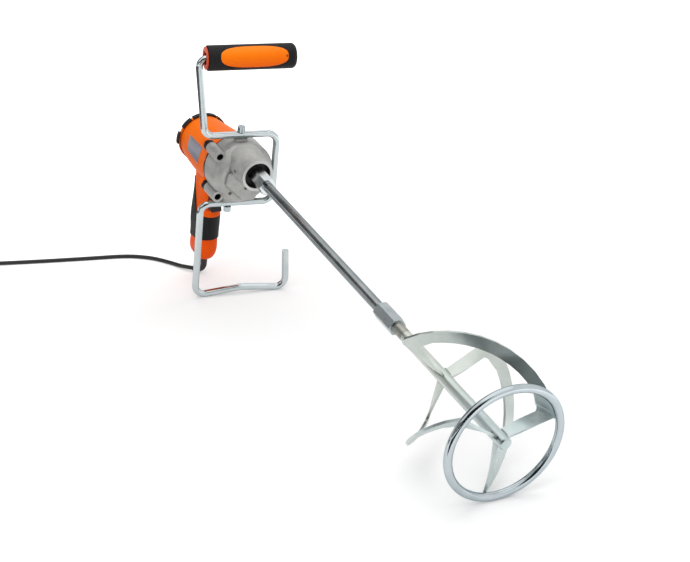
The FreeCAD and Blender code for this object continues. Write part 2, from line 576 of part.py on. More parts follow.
def grip_loft(body, kind, proud="0"):
    sections = [stadium(body, "XY_Plane", middle + "_middle", "(%s_half_depth + %s)" % (name, proud),
                        "(%s_half_width + %s)" % (name, proud), "-%s_drop" % name)
                for name, middle in grip_sections]
    return loft(body, kind, sections)


barrel_start = "(case_back + plate_thick)"
joint_screws = [("barrel_screw_along", "barrel_screw_high"),
                ("neck_screw_front", "-neck_screw_drop"), ("neck_screw_back", "-neck_screw_drop"),
                ("heel_screw_front", "-heel_screw_drop"), ("heel_screw_back", "-heel_screw_drop")]


def housing_half(label, left):
    body = new_body("HousingLeft" if left else "HousingRight")
    loft(body, "AdditiveLoft", [
        circles(body, "XZ_Plane", [("0", "-barrel_front_drop", "barrel_front_radius")], "-" + barrel_start),
        circles(body, "XZ_Plane", [("0", "-barrel_mid_drop", "barrel_mid_radius")], "-barrel_mid"),
        circles(body, "XZ_Plane", [("0", "-motor_drop", "barrel_back_radius")], "-barrel_back")])
    grip_loft(body, "AdditiveLoft")
    for x, z in ears:
        if x.startswith("-") == left:
            reach(body, "Pad", circles(body, "XZ_Plane", [(x, z, "ear_radius")], "-case_back - weld_gap"),
                  "ear_back - case_back - weld_gap", True)
    reach(body, "Pocket", circles(body, "XZ_Plane",
        [("0", "-case_drop", "case_radius - plate_inset + plate_play")],
                                  "-case_back"), "plate_thick")
    reach(body, "Pad", stadium(body, "XY_Plane", "(hand_middle - rest_back)",
        "(hand_half_depth - rest_back + rest_out)",
                               "(hand_half_width - 1)", "-rest_drop"), "rest_high", True)
    swing(body, "Groove", polygon(body, "XY_Plane", [
        ("0", barrel_start), ("fan_room_radius", barrel_start), ("fan_room_radius", "fan_room_end"),
        ("stator_radius + seat_fit", "fan_room_end"), ("stator_radius + seat_fit", stator_end),
        ("rear_room_radius", stator_end), ("rear_room_radius", "barrel_back"), ("0", "barrel_back")],
        "-motor_drop"))
    reach(body, "Pocket", circles(body, "XZ_Plane", [("0", "-barrel_front_drop", "spigot_radius + seat_fit")],
                                  "-" + barrel_start), "spigot_long + seat_fit")
    trigger_low = "-trigger_low_drop - trigger_play"
    trigger_top = "-trigger_top_drop + trigger_play"
    reach(body, "Pocket", polygon(body, "YZ_Plane", [
        ("trigger_front - 5", trigger_low), ("switch_front", trigger_low), ("switch_front", trigger_top),
        ("trigger_front - 5", trigger_top)], "trigger_half_width + trigger_play"),
        "2 * (trigger_half_width + trigger_play)")
    reach(body, "Pocket", polygon(body, "YZ_Plane", [
        ("switch_front - switch_play", "-switch_low_drop - switch_play"),
        ("switch_back + switch_play", "-switch_low_drop - switch_play"),
        ("switch_back + switch_play", "-switch_top_drop + switch_play"),
        ("switch_front - switch_play", "-switch_top_drop + switch_play")], "switch_half_width + switch_play"),
        "2 * (switch_half_width + switch_play)")
    reach(body, "Pocket", circles(body, "XY_Plane", [("0", "capacitor_y", "capacitor_radius + seat_fit")],
                                  "-capacitor_drop + capacitor_long / 2"), "capacitor_long")
    reach(body, "Pocket", circles(body, "XY_Plane", [("0", "gland_y", "gland_radius + seat_fit")],
                                  "-sole_drop - 1"), "gland_in + 1", True)
    reach(body, "Pocket", circles(body, "XY_Plane", [("0", "gland_y", "gland_flange_radius + seat_fit")],
                                  "-sole_drop + gland_in"), "gland_flange + clamp_high", True)
    reach(body, "Pocket", polygon(body, "YZ_Plane", [
        ("case_front", "-sole_drop - 10"), ("barrel_back + 20", "-sole_drop - 10"),
        ("barrel_back + 20", "barrel_front_radius"), ("case_front", "barrel_front_radius")],
        "-split_gap / 2" if left else "split_gap / 2"), "60", left)
    for x, z in ears:
        if x.startswith("-") == left:
            reach(body, "Pocket", circles(body, "XZ_Plane", [(x, z, "screw_radius + seat_fit")],
                "-case_back"),
                  "ear_back - case_back - 1")
    if left:
        reach(body, "Pocket", circles(body, "YZ_Plane", [(y, z, "joint_screw_radius") for y,
            z in joint_screws], "0"),
              "joint_reach")
    else:
        reach(body, "Pocket", circles(body, "YZ_Plane", [("button_y", "-button_drop",
            "button_radius + running_fit")],
                                      "switch_half_width"), "button_outer", True)
        reach(body, "Pocket", circles(body, "YZ_Plane", [(y, z, "joint_screw_radius") for y,
            z in joint_screws], "0"),
              "joint_reach", True)
        for y, z in joint_screws:
            reach(body, "Pocket", circles(body, "YZ_Plane", [(y, z, "joint_head_radius + screw_play")],
                "joint_reach"),
                  "joint_way", True)
    return keep(body, label)


housing_half("housing_left", True)
housing_half("housing_right", False)

joint = new_body("HousingScrews")
reach(joint, "Pad", circles(joint, "YZ_Plane", [(y, z, "joint_screw_radius - running_fit") for y,
    z in joint_screws],
                            "-joint_reach + 0.5"), "2 * joint_reach - 0.5")
reach(joint, "Pad", circles(joint, "YZ_Plane", [(y, z, "joint_head_radius") for y, z in joint_screws],
    "joint_reach"),
      "joint_head_high")
joint.AllowCompound = True
keep(joint, "housing_screws")

# Rubber grip pads: a skin of the handle's own loft, cut to the pad's outline, one on each half.
for label, left in (("grip_pad_left", True), ("grip_pad_right", False)):
    skin = new_body(label + "_skin")
    grip_loft(skin, "AdditiveLoft", "pad_thick")
    grip_loft(skin, "SubtractiveLoft", "weld_gap")
    cutter = new_body(label + "_outline")
    reach(cutter, "Pad", polygon(cutter, "YZ_Plane", [
        ("palm_middle - 40", "-pad_top_front"), ("pad_corner_front", "-pad_top_front"),
        ("pad_corner_back", "-pad_top_back"), ("palm_middle + 40", "-pad_top_back + 6"),
        ("palm_middle + 40", "-pad_low_back"), ("palm_middle - 40", "-pad_low_front")],
        "-split_gap / 2" if left else "split_gap / 2"), "40", left)
    common = doc.addObject("Part::Common", label)
    common.Base = skin
    common.Tool = cutter
    keep(common, label)

# Rear cap: turned cup with vent notches round its rim and a boss for the rear bearing.
cap = new_body("RearCap")
cap_end = "(barrel_back + cap_long)"
boss_radius = "(rear_bearing_radius + cap_boss_wall)"
swing(cap, "Revolution", polygon(cap, "XY_Plane", [
    ("rear_bearing_radius + seat_fit", "rear_bearing_start"), (boss_radius, "rear_bearing_start"),
    (boss_radius, "barrel_back"), ("rear_room_radius - seat_fit - cap_lip_wall", "barrel_back"),
    ("rear_room_radius - seat_fit - cap_lip_wall", "barrel_back - cap_lip"),
    ("rear_room_radius - seat_fit", "barrel_back - cap_lip"), ("rear_room_radius - seat_fit", "barrel_back"),
    ("cap_radius", "barrel_back"), ("cap_radius", "barrel_back + cap_shoulder"), ("cap_end_radius", cap_end),
    ("0", cap_end), ("0", rear_bearing_end), ("rear_bearing_radius + seat_fit", rear_bearing_end)]))
soften(cap, "Fillet", "cap_shoulder * 0.6", circle_edge("cap_radius", "barrel_back + cap_shoulder"))
notch = reach(cap, "Pocket", polygon(cap, "XZ_Plane", [
    ("-vent_wide / 2", "cap_radius - 2"), ("vent_wide / 2", "cap_radius - 2"), ("vent_wide / 2",
    "cap_radius + 2"),
    ("-vent_wide / 2", "cap_radius + 2")], "-barrel_back"), "vent_deep")
around(cap, notch, "vent_count")
keep(cap, "rear_cap", **at_motor)

# Trigger: curved finger face, and a stem into the switch.
trigger = new_body("Trigger")
belly = "(trigger_front + trigger_belly)"
middle_drop = "(trigger_top_drop + trigger_low_drop) / 2"
reach(trigger, "Pad", polygon(trigger, "YZ_Plane", [
    ("trigger_front", "-trigger_low_drop"), ("trigger_back", "-trigger_low_drop"),
    ("trigger_back", "-trigger_top_drop"), ("trigger_front + trigger_belly / 2", "-trigger_top_drop"),
    (belly, "-trigger_top_drop - 7"), (belly + " - 0.6", "-" + middle_drop), (belly + " - 2",
    "-trigger_low_drop + 5")],
    "trigger_half_width"), "2 * trigger_half_width", True)
soften(trigger, "Fillet", "trigger_belly / 3", lambda edge: edge.CenterOfMass.y < size(belly) + 0.1 and (
    abs(abs(edge.CenterOfMass.x) - size("trigger_half_width")) < 0.01))
reach(trigger, "Pad", circles(trigger, "XZ_Plane", [("0", "-" + middle_drop, "trigger_stem_radius")],
                              "-trigger_back + 0.5"), "trigger_stem + trigger_travel / 2", True)
keep(trigger, "trigger")
switch = new_body("SwitchBody")
reach(switch, "Pad", polygon(switch, "YZ_Plane", [
    ("switch_front", "-switch_low_drop"), ("switch_back", "-switch_low_drop"), ("switch_back",
    "-switch_top_drop"),
    ("switch_front", "-switch_top_drop")], "switch_half_width"), "2 * switch_half_width", True)
reach(switch, "Pocket", circles(switch, "XZ_Plane", [
    ("0", "-" + middle_drop, "trigger_stem_radius + running_fit")], "-switch_front"),
    "trigger_stem + trigger_travel")
keep(switch, "switch_body")
button = new_body("LockButton")
reach(button, "Pad", circles(button, "YZ_Plane", [("button_y", "-button_drop", "button_radius")],
    "button_inner"),
      "button_outer - button_inner")
soften(button, "Fillet", "button_radius / 4",
       lambda edge: abs(edge.CenterOfMass.x - size("button_outer")) < 0.01)
keep(button, "lock_button")
capacitor = new_body("Capacitor")
reach(capacitor, "Pad", circles(capacitor, "XY_Plane", [("0", "capacitor_y", "capacitor_radius")],
                                "-capacitor_drop + capacitor_long / 2"), "capacitor_long", True)
keep(capacitor, "capacitor")


# Frame bar: straight runs joined by bends, in the plane (along, up) of the frame.
def rounded_path(points, radii):
    edges, start = [], points[0]
    for before, corner, after, radius in zip(points, points[1:], points[2:], radii):
        to_before = (before - corner).normalize()
        to_after = (after - corner).normalize()
        half = to_before.getAngle(to_after) / 2
        step = radius / math.tan(half)
        first, last = corner + to_before * step, corner + to_after * step
        inward = (to_before + to_after).normalize()
        middle = corner + inward * (radius / math.sin(half) - radius)
        edges += [Part.LineSegment(start, first).toShape(), Part.Arc(first, middle, last).toShape()]
        start = last
    edges.append(Part.LineSegment(start, points[-1]).toShape())
    return Part.Wire(edges)


def end_circle(edge, at, radius):
    return Part.Wire([Part.Circle(edge.valueAt(at), edge.tangentAt(at), radius).toShape()])


def tube(wire, radius, end_radius=None):
    first, last = wire.OrderedEdges[0], wire.OrderedEdges[-1]
    sections = [end_circle(first, first.FirstParameter, radius)]
    if end_radius:
        sections.append(end_circle(last, last.LastParameter, end_radius))
    return wire.makePipeShell(sections, True, False)


def frame_points(left_up, right_up):
    half, high, drop = size(yoke_half_width), size(yoke_half_high), size("case_drop")
    middle_up = left_up + (right_up - left_up) * 0.5 + size("kink_rise")
    flat = [
        (size("sleeve_end - sleeve_end_wall - 2"), size("grip_up")), (-size("riser_out"), size("grip_up")),
        (-half, high - drop), (half, high - drop), (half, -high - drop), (-half, -high - drop),
        (-size("foot_out"), left_up), (size("kink_along"), middle_up), (size("tip_along"), right_up),
        (size("tip_along - tip_lean"), right_up + size("tip_high"))]
    return [Vec(along, 0, up) for along, up in flat]


def frame_wire(left_up, right_up):
    bends = [size("grip_bend_radius")] + [size("bend_radius")] * 5 + [size("kink_radius"),
        size("bend_radius")]
    return rounded_path(frame_points(left_up, right_up), bends)


# Both ends of the foot are let down until they stand on the floor.
left_up = right_up = -size(nose_height) / math.cos(math.radians(size("tilt")))
for _ in range(12):
    wire = frame_wire(left_up, right_up)
    heights = [(p.x, frame_plane.multVec(p).z) for p in wire.discretize(Distance=0.5) if p.z < 0]
    left_up += size("bar_radius") - min(z for along, z in heights if along < size("kink_along"))
    right_up += size("bar_radius") - min(z for along, z in heights if along > size("kink_along"))
bar = tube(frame_wire(left_up, right_up), size("bar_radius"))
top_up = size(yoke_half_high + " - case_drop")
low_up = -size(yoke_half_high + " + case_drop")
bolt_hole = size("bolt_radius + screw_play")
for along, up in ((0, top_up), (size("low_bolt_along"), low_up)):
    hole = Part.makeCylinder(bolt_hole, 4 * size("bar_radius"), Vec(along, 0, up - 2 * size("bar_radius")))
    bar = bar.cut(hole)
keep_shape(bar, "handle_bar", frame_plane)


def frame_bolt(along, up, out):
    # socket-head bolt through the bar into the case's saddle
    seat = up + out * size("bar_radius")
    tip = up - out * size("bar_radius + bolt_deep - 0.5")
    shank = Part.makeCylinder(size("bolt_radius"), abs(seat - tip), Vec(along, 0, min(seat, tip)))
    far = seat + out * size("bolt_head_high")
    head = Part.makeCylinder(size("bolt_head_radius"), size("bolt_head_high"), Vec(along, 0, min(seat, far)))
    return shank.fuse(head).removeSplitter()


bolts = [frame_bolt(0, top_up, 1), frame_bolt(size("low_bolt_along"), low_up, -1)]
keep_shape(Part.makeCompound(bolts), "frame_bolts", frame_plane)

# Auxiliary grip: hard core on the bar, soft sleeve over it, an oval inlay on the front and on the back.
grip_axis = FreeCAD.Placement(Vec(0, 0, size("grip_up")), FreeCAD.Rotation(Vec(0, 0, 1), -90))
grip_frame = frame_plane.multiply(grip_axis)
core = new_body("GripCore")
core_start = "(sleeve_start + core_recess)"
core_end = "(sleeve_end - sleeve_end_wall)"
swing(core, "Revolution", polygon(core, "XY_Plane", ring_profile(
    "bar_radius + running_fit", "core_radius", core_start, core_end + " - " + core_start)))
slot = reach(core, "Pocket", polygon(core, "XZ_Plane", [
    ("-core_slot_wide / 2", "core_slot_inner"), ("core_slot_wide / 2", "core_slot_inner"),
    ("core_slot_wide / 2", "core_radius - 1.6"), ("-core_slot_wide / 2", "core_radius - 1.6")],
    "-" + core_start),
    "core_slot_deep")
around(core, slot, "core_slots")
keep(core, "grip_core", grip_frame)
sleeve = new_body("GripSleeveBlank")
swing(sleeve, "Revolution", polygon(sleeve, "XY_Plane", [
    ("core_radius + seat_fit", "sleeve_start"), ("sleeve_radius", "sleeve_start"), ("sleeve_radius",
    "sleeve_end"),
    ("0", "sleeve_end"), ("0", core_end), ("core_radius + seat_fit", core_end)]))
soften(sleeve, "Fillet", "sleeve_rounding", circle_edge("sleeve_radius", "sleeve_end"))
soften(sleeve, "Fillet", "sleeve_rounding / 3", circle_edge("sleeve_radius", "sleeve_start"))


def oval_prism(grow, inner, outer, front):
    # part of a tube between two radii, inside an oval seen square to the grip, turned up at the front
    side = 1 if front else -1
    middle, radius = size("inlay_middle"), size("inlay_half_high") + grow
    far, near = (middle + end * size("inlay_half_long - inlay_half_high") for end in (1, -1))
    oval = Part.Wire([
        Part.Arc(Vec(radius, far, 0), Vec(0, far + radius, 0), Vec(-radius, far, 0)).toShape(),
        Part.LineSegment(Vec(-radius, far, 0), Vec(-radius, near, 0)).toShape(),
        Part.Arc(Vec(-radius, near, 0), Vec(0, near - radius, 0), Vec(radius, near, 0)).toShape(),
        Part.LineSegment(Vec(radius, near, 0), Vec(radius, far, 0)).toShape()])
    prism = Part.Face(oval).extrude(Vec(0, 0, 2 * outer))
    prism.rotate(Vec(0, 0, 0), Vec(0, 1, 0), 90 * side - size("inlay_lean"))
    start, long = size("sleeve_start"), size("sleeve_end - sleeve_start")
    shell = Part.makeCylinder(outer, long, Vec(0, start, 0), Vec(0, 1, 0))
    shell = shell.cut(Part.makeCylinder(inner, long, Vec(0, start, 0), Vec(0, 1, 0)))
    return prism.common(shell)


inlay_floor = size("sleeve_radius - inlay_deep")
for label, front in (("grip_inlay_front", True), ("grip_inlay_back", False)):
    keep_shape(oval_prism(0, inlay_floor, size("sleeve_radius + inlay_proud"), front), label, grip_frame)
doc.recompute()
cover = sleeve.Shape.copy()
for front in (True, False):
    cover = cover.cut(oval_prism(size("inlay_fit"), inlay_floor - size("seat_fit"),
        size("sleeve_radius + 3"), front))
keep_shape(cover, "grip_sleeve", grip_frame)


# Extension rod with its hexagon collar, the coupling nut and the whisk's own rod.
def hexagon(body, flats, offset):
    corner = "%s / 2 / cos(30)" % flats
    return polygon(body, "XZ_Plane", [("%s * cos(%d)" % (corner, a), "%s * sin(%d)" % (corner, a))
                                      for a in range(0, 360, 60)], offset)


rod = new_body("ExtensionRod")
collar_start = "(spindle_end - weld_gap)"
rod_end = "(coupling_start - rod_in_coupling)"
swing(rod, "Revolution", polygon(rod, "XY_Plane", [
    ("0", rod_end), ("rod_radius", rod_end), ("rod_radius", "collar_end"), ("stud_radius", "collar_end"),
    ("stud_radius", "spindle_end + socket_deep - 4"), ("0", "spindle_end + socket_deep - 4")]))
reach(rod, "Pad", hexagon(rod, "collar_flats", "-collar_end"), collar_start + " - collar_end", True)
keep(rod, "extension_rod")
coupling = new_body("CouplingNut")
reach(coupling, "Pad", hexagon(coupling, "coupling_flats", "-coupling_end"),
    "coupling_start - coupling_end", True)
for end, side in (("coupling_start", "-1"), ("coupling_end", "1")):
    swing(coupling, "Groove", polygon(coupling, "XY_Plane", [
        ("coupling_flats / 2 - 0.3", end), ("coupling_flats", end),
        ("coupling_flats", end + " + " + side + " * coupling_chamfer * 4"),
        ("coupling_flats / 2 + coupling_chamfer", end + " + " + side + " * coupling_chamfer * 0.7")]))
swing(coupling, "Groove", polygon(coupling, "XY_Plane", [
    ("0", "coupling_start"), ("rod_radius + weld_gap", "coupling_start"), ("rod_radius + weld_gap", rod_end),
    ("whisk_stud_radius + weld_gap", rod_end), ("whisk_stud_radius + weld_gap", "coupling_end"),
    ("0", "coupling_end")]))
keep(coupling, "coupling_nut")
turned("whisk_shaft", [
    ("0", whisk_end), ("whisk_rod_radius - 1.5", whisk_end), ("whisk_rod_radius", whisk_end + " + 1.5"),
    ("whisk_rod_radius", "whisk_stud_end"), ("whisk_stud_radius", "whisk_stud_end"),
    ("whisk_stud_radius", rod_end + " - 0.5"), ("0", rod_end + " - 0.5")])
ring = doc.addObject("Part::Torus", "WhiskRing")
bind(ring, "Radius1", "ring_mean_radius")
bind(ring, "Radius2", "ring_wire_radius")
keep(ring, "whisk_ring", y="-ring_reach")
ring.Placement = ring.Placement.multiply(FreeCAD.Placement(Vec(), FreeCAD.Rotation(Vec(1, 0, 0), 90)))


# Whisk blades: flat strip bent edgewise to a C, on a screw surface: an arm out from the rod, a run that
# winds down to the ring, and a spoke back to the rod's foot.
def blade_point(radius, along, angle):
    turn = math.radians(angle + size("blade_turn") * along)
    rise = size("blade_rise") * (1 - along) * radius / size("blade_top_radius")
    y = size(blade_root) - size("blade_high") * along + rise
    return Vec(radius * math.cos(turn), y, radius * math.sin(turn))


def blade_outline():
    # pairs of (radius, share of the way down): outer edge and inner edge of the C
    drop = size("blade_high")
    sweep = abs(math.radians(size("blade_turn")))
    top, low = size("blade_top_radius"), size("blade_low_radius")
    wide, corner, low_corner = size("blade_wide"), size("blade_corner"), size("blade_low_corner")
    hollow = size("blade_inner_corner")
    inner = size("whisk_rod_radius + weld_gap")

    def share(radius, long):
        return long / math.hypot(radius * sweep, drop)

    def edge(along):
        return top + (low - top) * along + 4 * size("blade_bulge") * along * (1 - along)

    outer_edge, inner_edge = [], []
    for i in range(5):
        radius = inner + (top - corner - inner) * i / 4
        outer_edge.append((radius, 0.0))
        inner_radius = inner + (top - wide - hollow - inner) * i / 4
        inner_edge.append((inner_radius, share(inner_radius, wide)))
    for i in range(1, 5):
        a = math.pi / 2 * i / 4
        outer_edge.append((top - corner * (1 - math.sin(a)), share(top, corner * (1 - math.cos(a)))))
        inner_edge.append((top - wide - hollow * (1 - math.sin(a)), share(top - wide,
            wide + hollow * (1 - math.cos(a)))))
    first, last = share(top, corner), 1 - share(low, low_corner)
    begin, finish = inner_edge[-1][1], 1 - share(low - wide, wide + hollow)
    for i in range(1, 12):
        along = first + (last - first) * i / 12
        outer_edge.append((edge(along), along))
        along = begin + (finish - begin) * i / 12
        inner_edge.append((edge(along) - wide, along))
    for i in range(4, 0, -1):
        a = math.pi / 2 * i / 4
        outer_edge.append((low - low_corner * (1 - math.sin(a)), 1 - share(low,
            low_corner * (1 - math.cos(a)))))
        inner_edge.append((low - wide - hollow * (1 - math.sin(a)),
                           1 - share(low - wide, wide + hollow * (1 - math.cos(a)))))
    for i in range(4, -1, -1):
        radius = inner + (low - low_corner - inner) * i / 4
        outer_edge.append((radius, 1.0))
        inner_radius = inner + (low - wide - hollow - inner) * i / 4
        inner_edge.append((inner_radius, 1 - share(inner_radius, wide)))
    return outer_edge, inner_edge


def blade_solid(angle):
    sections = []
    for (r_out, s_out), (r_in, s_in) in zip(*blade_outline()):
        radius, along = (r_out + r_in) / 2, (s_out + s_in) / 2
        middle = blade_point(radius, along, angle)
        across = blade_point(radius + 0.1, along, angle) - middle
        down = blade_point(radius, along + 0.001, angle) - middle
        half = across.cross(down).normalize() * (size("blade_thick") / 2)
        outer, inner = blade_point(r_out, s_out, angle), blade_point(r_in, s_in, angle)
        sections.append(Part.makePolygon([outer + half, inner + half, inner - half, outer - half,
            outer + half]))
    return Part.makeLoft(sections, True, True)


blade_starts = ["blade_angle", "blade_angle - first_spacing", "blade_angle - first_spacing - second_spacing"]
for number, start in enumerate(blade_starts, start=1):
    keep_shape(blade_solid(size(start)), "whisk_blade_%d" % number)


# Mains lead, in the row's frame: down out of the grip's sole, bent to the floor, away to the left, then
# coiled and tied.
def arc_from(start, heading, end):
    # arc that leaves start along heading and ends at end; gives the edge and the heading at its end
    chord = end - start
    along = chord.normalize()
    half = (end - start) * 0.5
    angle = heading.getAngle(along)
    side = (heading - along * heading.dot(along)).normalize()
    middle = start + half + side * (half.Length * math.tan(angle / 2))
    return Part.Arc(start, middle, end).toShape(), along * (2 * heading.dot(along)) - heading


floor_lie = size("cord_radius")
exit_point = tool_frame.multVec(Vec(0, size("gland_y"), -size("sole_drop")))
exit_heading = tool_frame.Rotation.multVec(Vec(0, 0, -1))
first_heading = Vec(-0.6, 0.8, 0).normalize()
bend_start = exit_point + exit_heading * size("gland_out")
turn = exit_heading.getAngle(first_heading)
step = size("gland_bend") * math.tan(turn / 2)
bend_end = bend_start + exit_heading * step + first_heading * step
gland_end = bend_end + first_heading * size("gland_tail")
gland_edges = [
    Part.LineSegment(exit_point - exit_heading * size("gland_in"), bend_start).toShape(),
    arc_from(bend_start, exit_heading, bend_end)[0], Part.LineSegment(bend_end, gland_end).toShape()]
inward = tool_frame.Rotation.multVec(Vec(0, 0, 1))
flange_base = exit_point + inward * size("gland_in")
gland = tube(Part.Wire(gland_edges), size("gland_radius"), size("gland_tail_radius"))
gland = gland.fuse(Part.makeCylinder(size("gland_flange_radius"), size("gland_flange"), flange_base, inward))
row_frame = FreeCAD.Placement()
keep_shape(gland.removeSplitter(), "cord_sleeve", row_frame)
keep_shape(Part.makeCylinder(size("gland_flange_radius"), size("clamp_high"),
                             flange_base + inward * size("gland_flange"), inward), "cord_clamp", row_frame)

# The lead's own lie on the floor, point by point from the sleeve to the coil, counted from below the exit.
coil_z = floor_lie + size("coil_lift")
lead_places = [(-20.5, 39.2, 0.4), (-27.2, 57.2, 0), (-34.3, 72.3, 0), (-42.8, 86.8, 0), (-52.3, 97.2, 0),
               (-65.8, 108.3, 0), (-83.8, 116.5, 0), (-103.8, 121.8, 0), (-133.8, 130.1, 0),
               (-180.8, 143.8, 0), (-236.5, 160.7, 0.4), (-276.8, 173.1, size("coil_lift"))]
exit_foot = Vec(exit_point.x, exit_point.y, floor_lie)
lead_points = [gland_end, gland_end + first_heading * size("lead_first")]
lead_points += [exit_foot + Vec(*place) for place in lead_places]
coil_heading = Vec(-0.957, 0.29, 0).normalize()
coil_start = lead_points[-1] + coil_heading * size("lead_last")
lead_points.append(coil_start)
runs = [(b - a).Length for a, b in zip(lead_points, lead_points[1:])]
bends = []
for i in range(1, len(lead_points) - 1):
    before, after = lead_points[i] - lead_points[i - 1], lead_points[i + 1] - lead_points[i]
    bends.append(0.45 * min(runs[i - 1], runs[i]) / math.tan(before.getAngle(after) / 2))
lead = tube(rounded_path(lead_points, bends), floor_lie)
lead_long = rounded_path(lead_points, bends).Length
print("sleeve ends at %.1f %.1f %.1f" % tuple(gland_end))
print("lead: runs", " ".join("%.0f" % r for r in runs), " bends", " ".join("%.0f" % b for b in bends))
print("lead length %.1f, volume against section %.5f" % (lead_long,
    lead.Volume / (math.pi * floor_lie ** 2 * lead_long)))
keep_shape(lead, "power_cord", row_frame)

# Coil: half turns of shrinking radius on the floor, half a turn that climbs, half turns of growing radius
# on top.
right_hand = Vec(coil_heading.y, -coil_heading.x, 0)
pitch, lift = size("coil_step"), Vec(0, 0, size("coil_step"))
half_turns = int(size("coil_half_turns"))
coil_edges = []
at = coil_start + (coil_heading * (2 * floor_lie))
coil_edges.append(Part.LineSegment(coil_start, at).toShape())
heading, side = coil_heading, right_hand
radius = size("coil_radius")


def half_turn(at, heading, side, radius, climb):
    # two quarter arcs; a climbing half turn meets the level ones without a kink
    out = math.sqrt(radius ** 2 + (climb / 2) ** 2)
    middle = at + side * radius + heading * out + Vec(0, 0, climb / 2)
    end = at + side * (2 * radius) + Vec(0, 0, climb)
    first, heading_there = arc_from(at, heading, middle)
    second, last_heading = arc_from(middle, heading_there, end)
    return [first, second], end, last_heading


for i in range(2 * half_turns):
    climb = pitch if i == half_turns else 0
    edges, at, heading = half_turn(at, heading, side, radius, climb)
    coil_edges += edges
    side = side * -1
    radius += pitch / 2 if i >= half_turns else -pitch / 2
coil_end = at + heading * (2 * floor_lie)
coil_edges.append(Part.LineSegment(at, coil_end).toShape())
coil_wire = Part.Wire(coil_edges)
coil = tube(coil_wire, floor_lie)
spots = coil_wire.discretize(Distance=4)
near = min((a - b).Length for i, a in enumerate(spots) for b in spots[i + 12:])
print("coil length %.0f, volume against section %.5f, least gap between turns %.2f" % (
    coil_wire.Length, coil.Volume / (math.pi * floor_lie ** 2 * coil_wire.Length), near - 2 * floor_lie))
keep_shape(coil, "cord_coil", row_frame)
tail_end = coil_end + heading * size("tail_long")
keep_shape(Part.makeCylinder(floor_lie, size("tail_long"), coil_end, heading), "cord_tail", row_frame)
print("plug at", [round(v, 3) for v in tail_end], "heading", [round(v, 6) for v in heading])
print("cord from sleeve to plug %.0f" % (lead_long + coil_wire.Length + size("tail_long")))

# Tie round the bundle on the side away from the lead.
tie_line = [p for p in spots if abs((p - coil_start).dot(coil_heading) - 2 * floor_lie) < 3
            and (p - coil_start).dot(right_hand) > size("coil_radius")]
low = min((p - coil_start).dot(right_hand) for p in tie_line) - floor_lie - size("tie_gap")
high = max((p - coil_start).dot(right_hand) for p in tie_line) + floor_lie + size("tie_gap")
tie_frame = FreeCAD.Placement(
    coil_start + coil_heading * (2 * floor_lie),
    FreeCAD.Rotation(Vec(0, 0, 1), math.degrees(math.atan2(right_hand.y, right_hand.x))))
bundle_low = -floor_lie - size("tie_gap")
bundle_high = size("coil_step") + floor_lie + size("tie_gap")


def tie_box(grow):
    return Part.makeBox(high - low + 2 * grow, size("tie_wide"), bundle_high - bundle_low + 2 * grow,
                        Vec(low - grow, -size("tie_wide") / 2, bundle_low - grow))


keep_shape(tie_box(size("tie_thick")).cut(tie_box(0)), "cord_tie", tie_frame)

# Plug with two round pins, lying flat at the tail's end.
plug_turn = FreeCAD.Rotation(Vec(0, 0, 1), math.degrees(math.atan2(heading.y, heading.x)))
plug_frame = FreeCAD.Placement(tail_end, plug_turn)
half_high = tail_end.z
plug = Part.makeBox(size("plug_long"), size("plug_wide"), 2 * half_high,
                    Vec(size("plug_neck"), -size("plug_wide") / 2, -half_high))
upright = [e for e in plug.Edges if abs(e.tangentAt(e.FirstParameter).z) > 0.9]
plug = plug.makeFillet(size("plug_rounding"), upright)
plug = plug.fuse(Part.makeCylinder(size("plug_neck_radius"), size("plug_neck") + 2, Vec(), Vec(1, 0, 0)))
face_x = size("plug_neck + plug_long")
pins = []
for across in (-1, 1):
    base = Vec(face_x - size("pin_in_plug"), across * size("pin_apart") / 2, 0)
    root_long = size("pin_in_plug + pin_step")
    plug = plug.cut(Part.makeCylinder(size("pin_root_radius + seat_fit"), root_long, base, Vec(1, 0, 0)))
    root = Part.makeCylinder(size("pin_root_radius"), root_long, base, Vec(1, 0, 0))
    tip_start = base + Vec(root_long, 0, 0)
    pins.append(root.fuse(Part.makeCylinder(size("pin_radius"), size("pin_long"), tip_start, Vec(1, 0, 0))))
keep_shape(plug.removeSplitter(), "plug_body", plug_frame)
keep_shape(Part.makeCompound(pins), "plug_pins", plug_frame)

doc.recompute()
bad = [o.Name for o in doc.Objects if "Invalid" in o.State or "Error" in o.State]
bad += [n for n, o in subparts.items() if o.Shape.isNull() or not o.Shape.isValid()]
print("failed objects:", bad)
if bad:
    raise SystemExit("a sub-part failed")
os.makedirs("parts", exist_ok=True)
for label, obj in subparts.items():
    obj.Shape.exportStep("parts/%s.step" % label)
    print("%-22s solids %d  volume %9.1f" % (label, len(obj.Shape.Solids), obj.Shape.Volume))
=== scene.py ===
import bmesh
import bpy
import json
import math
from mathutils import Matrix, Vector


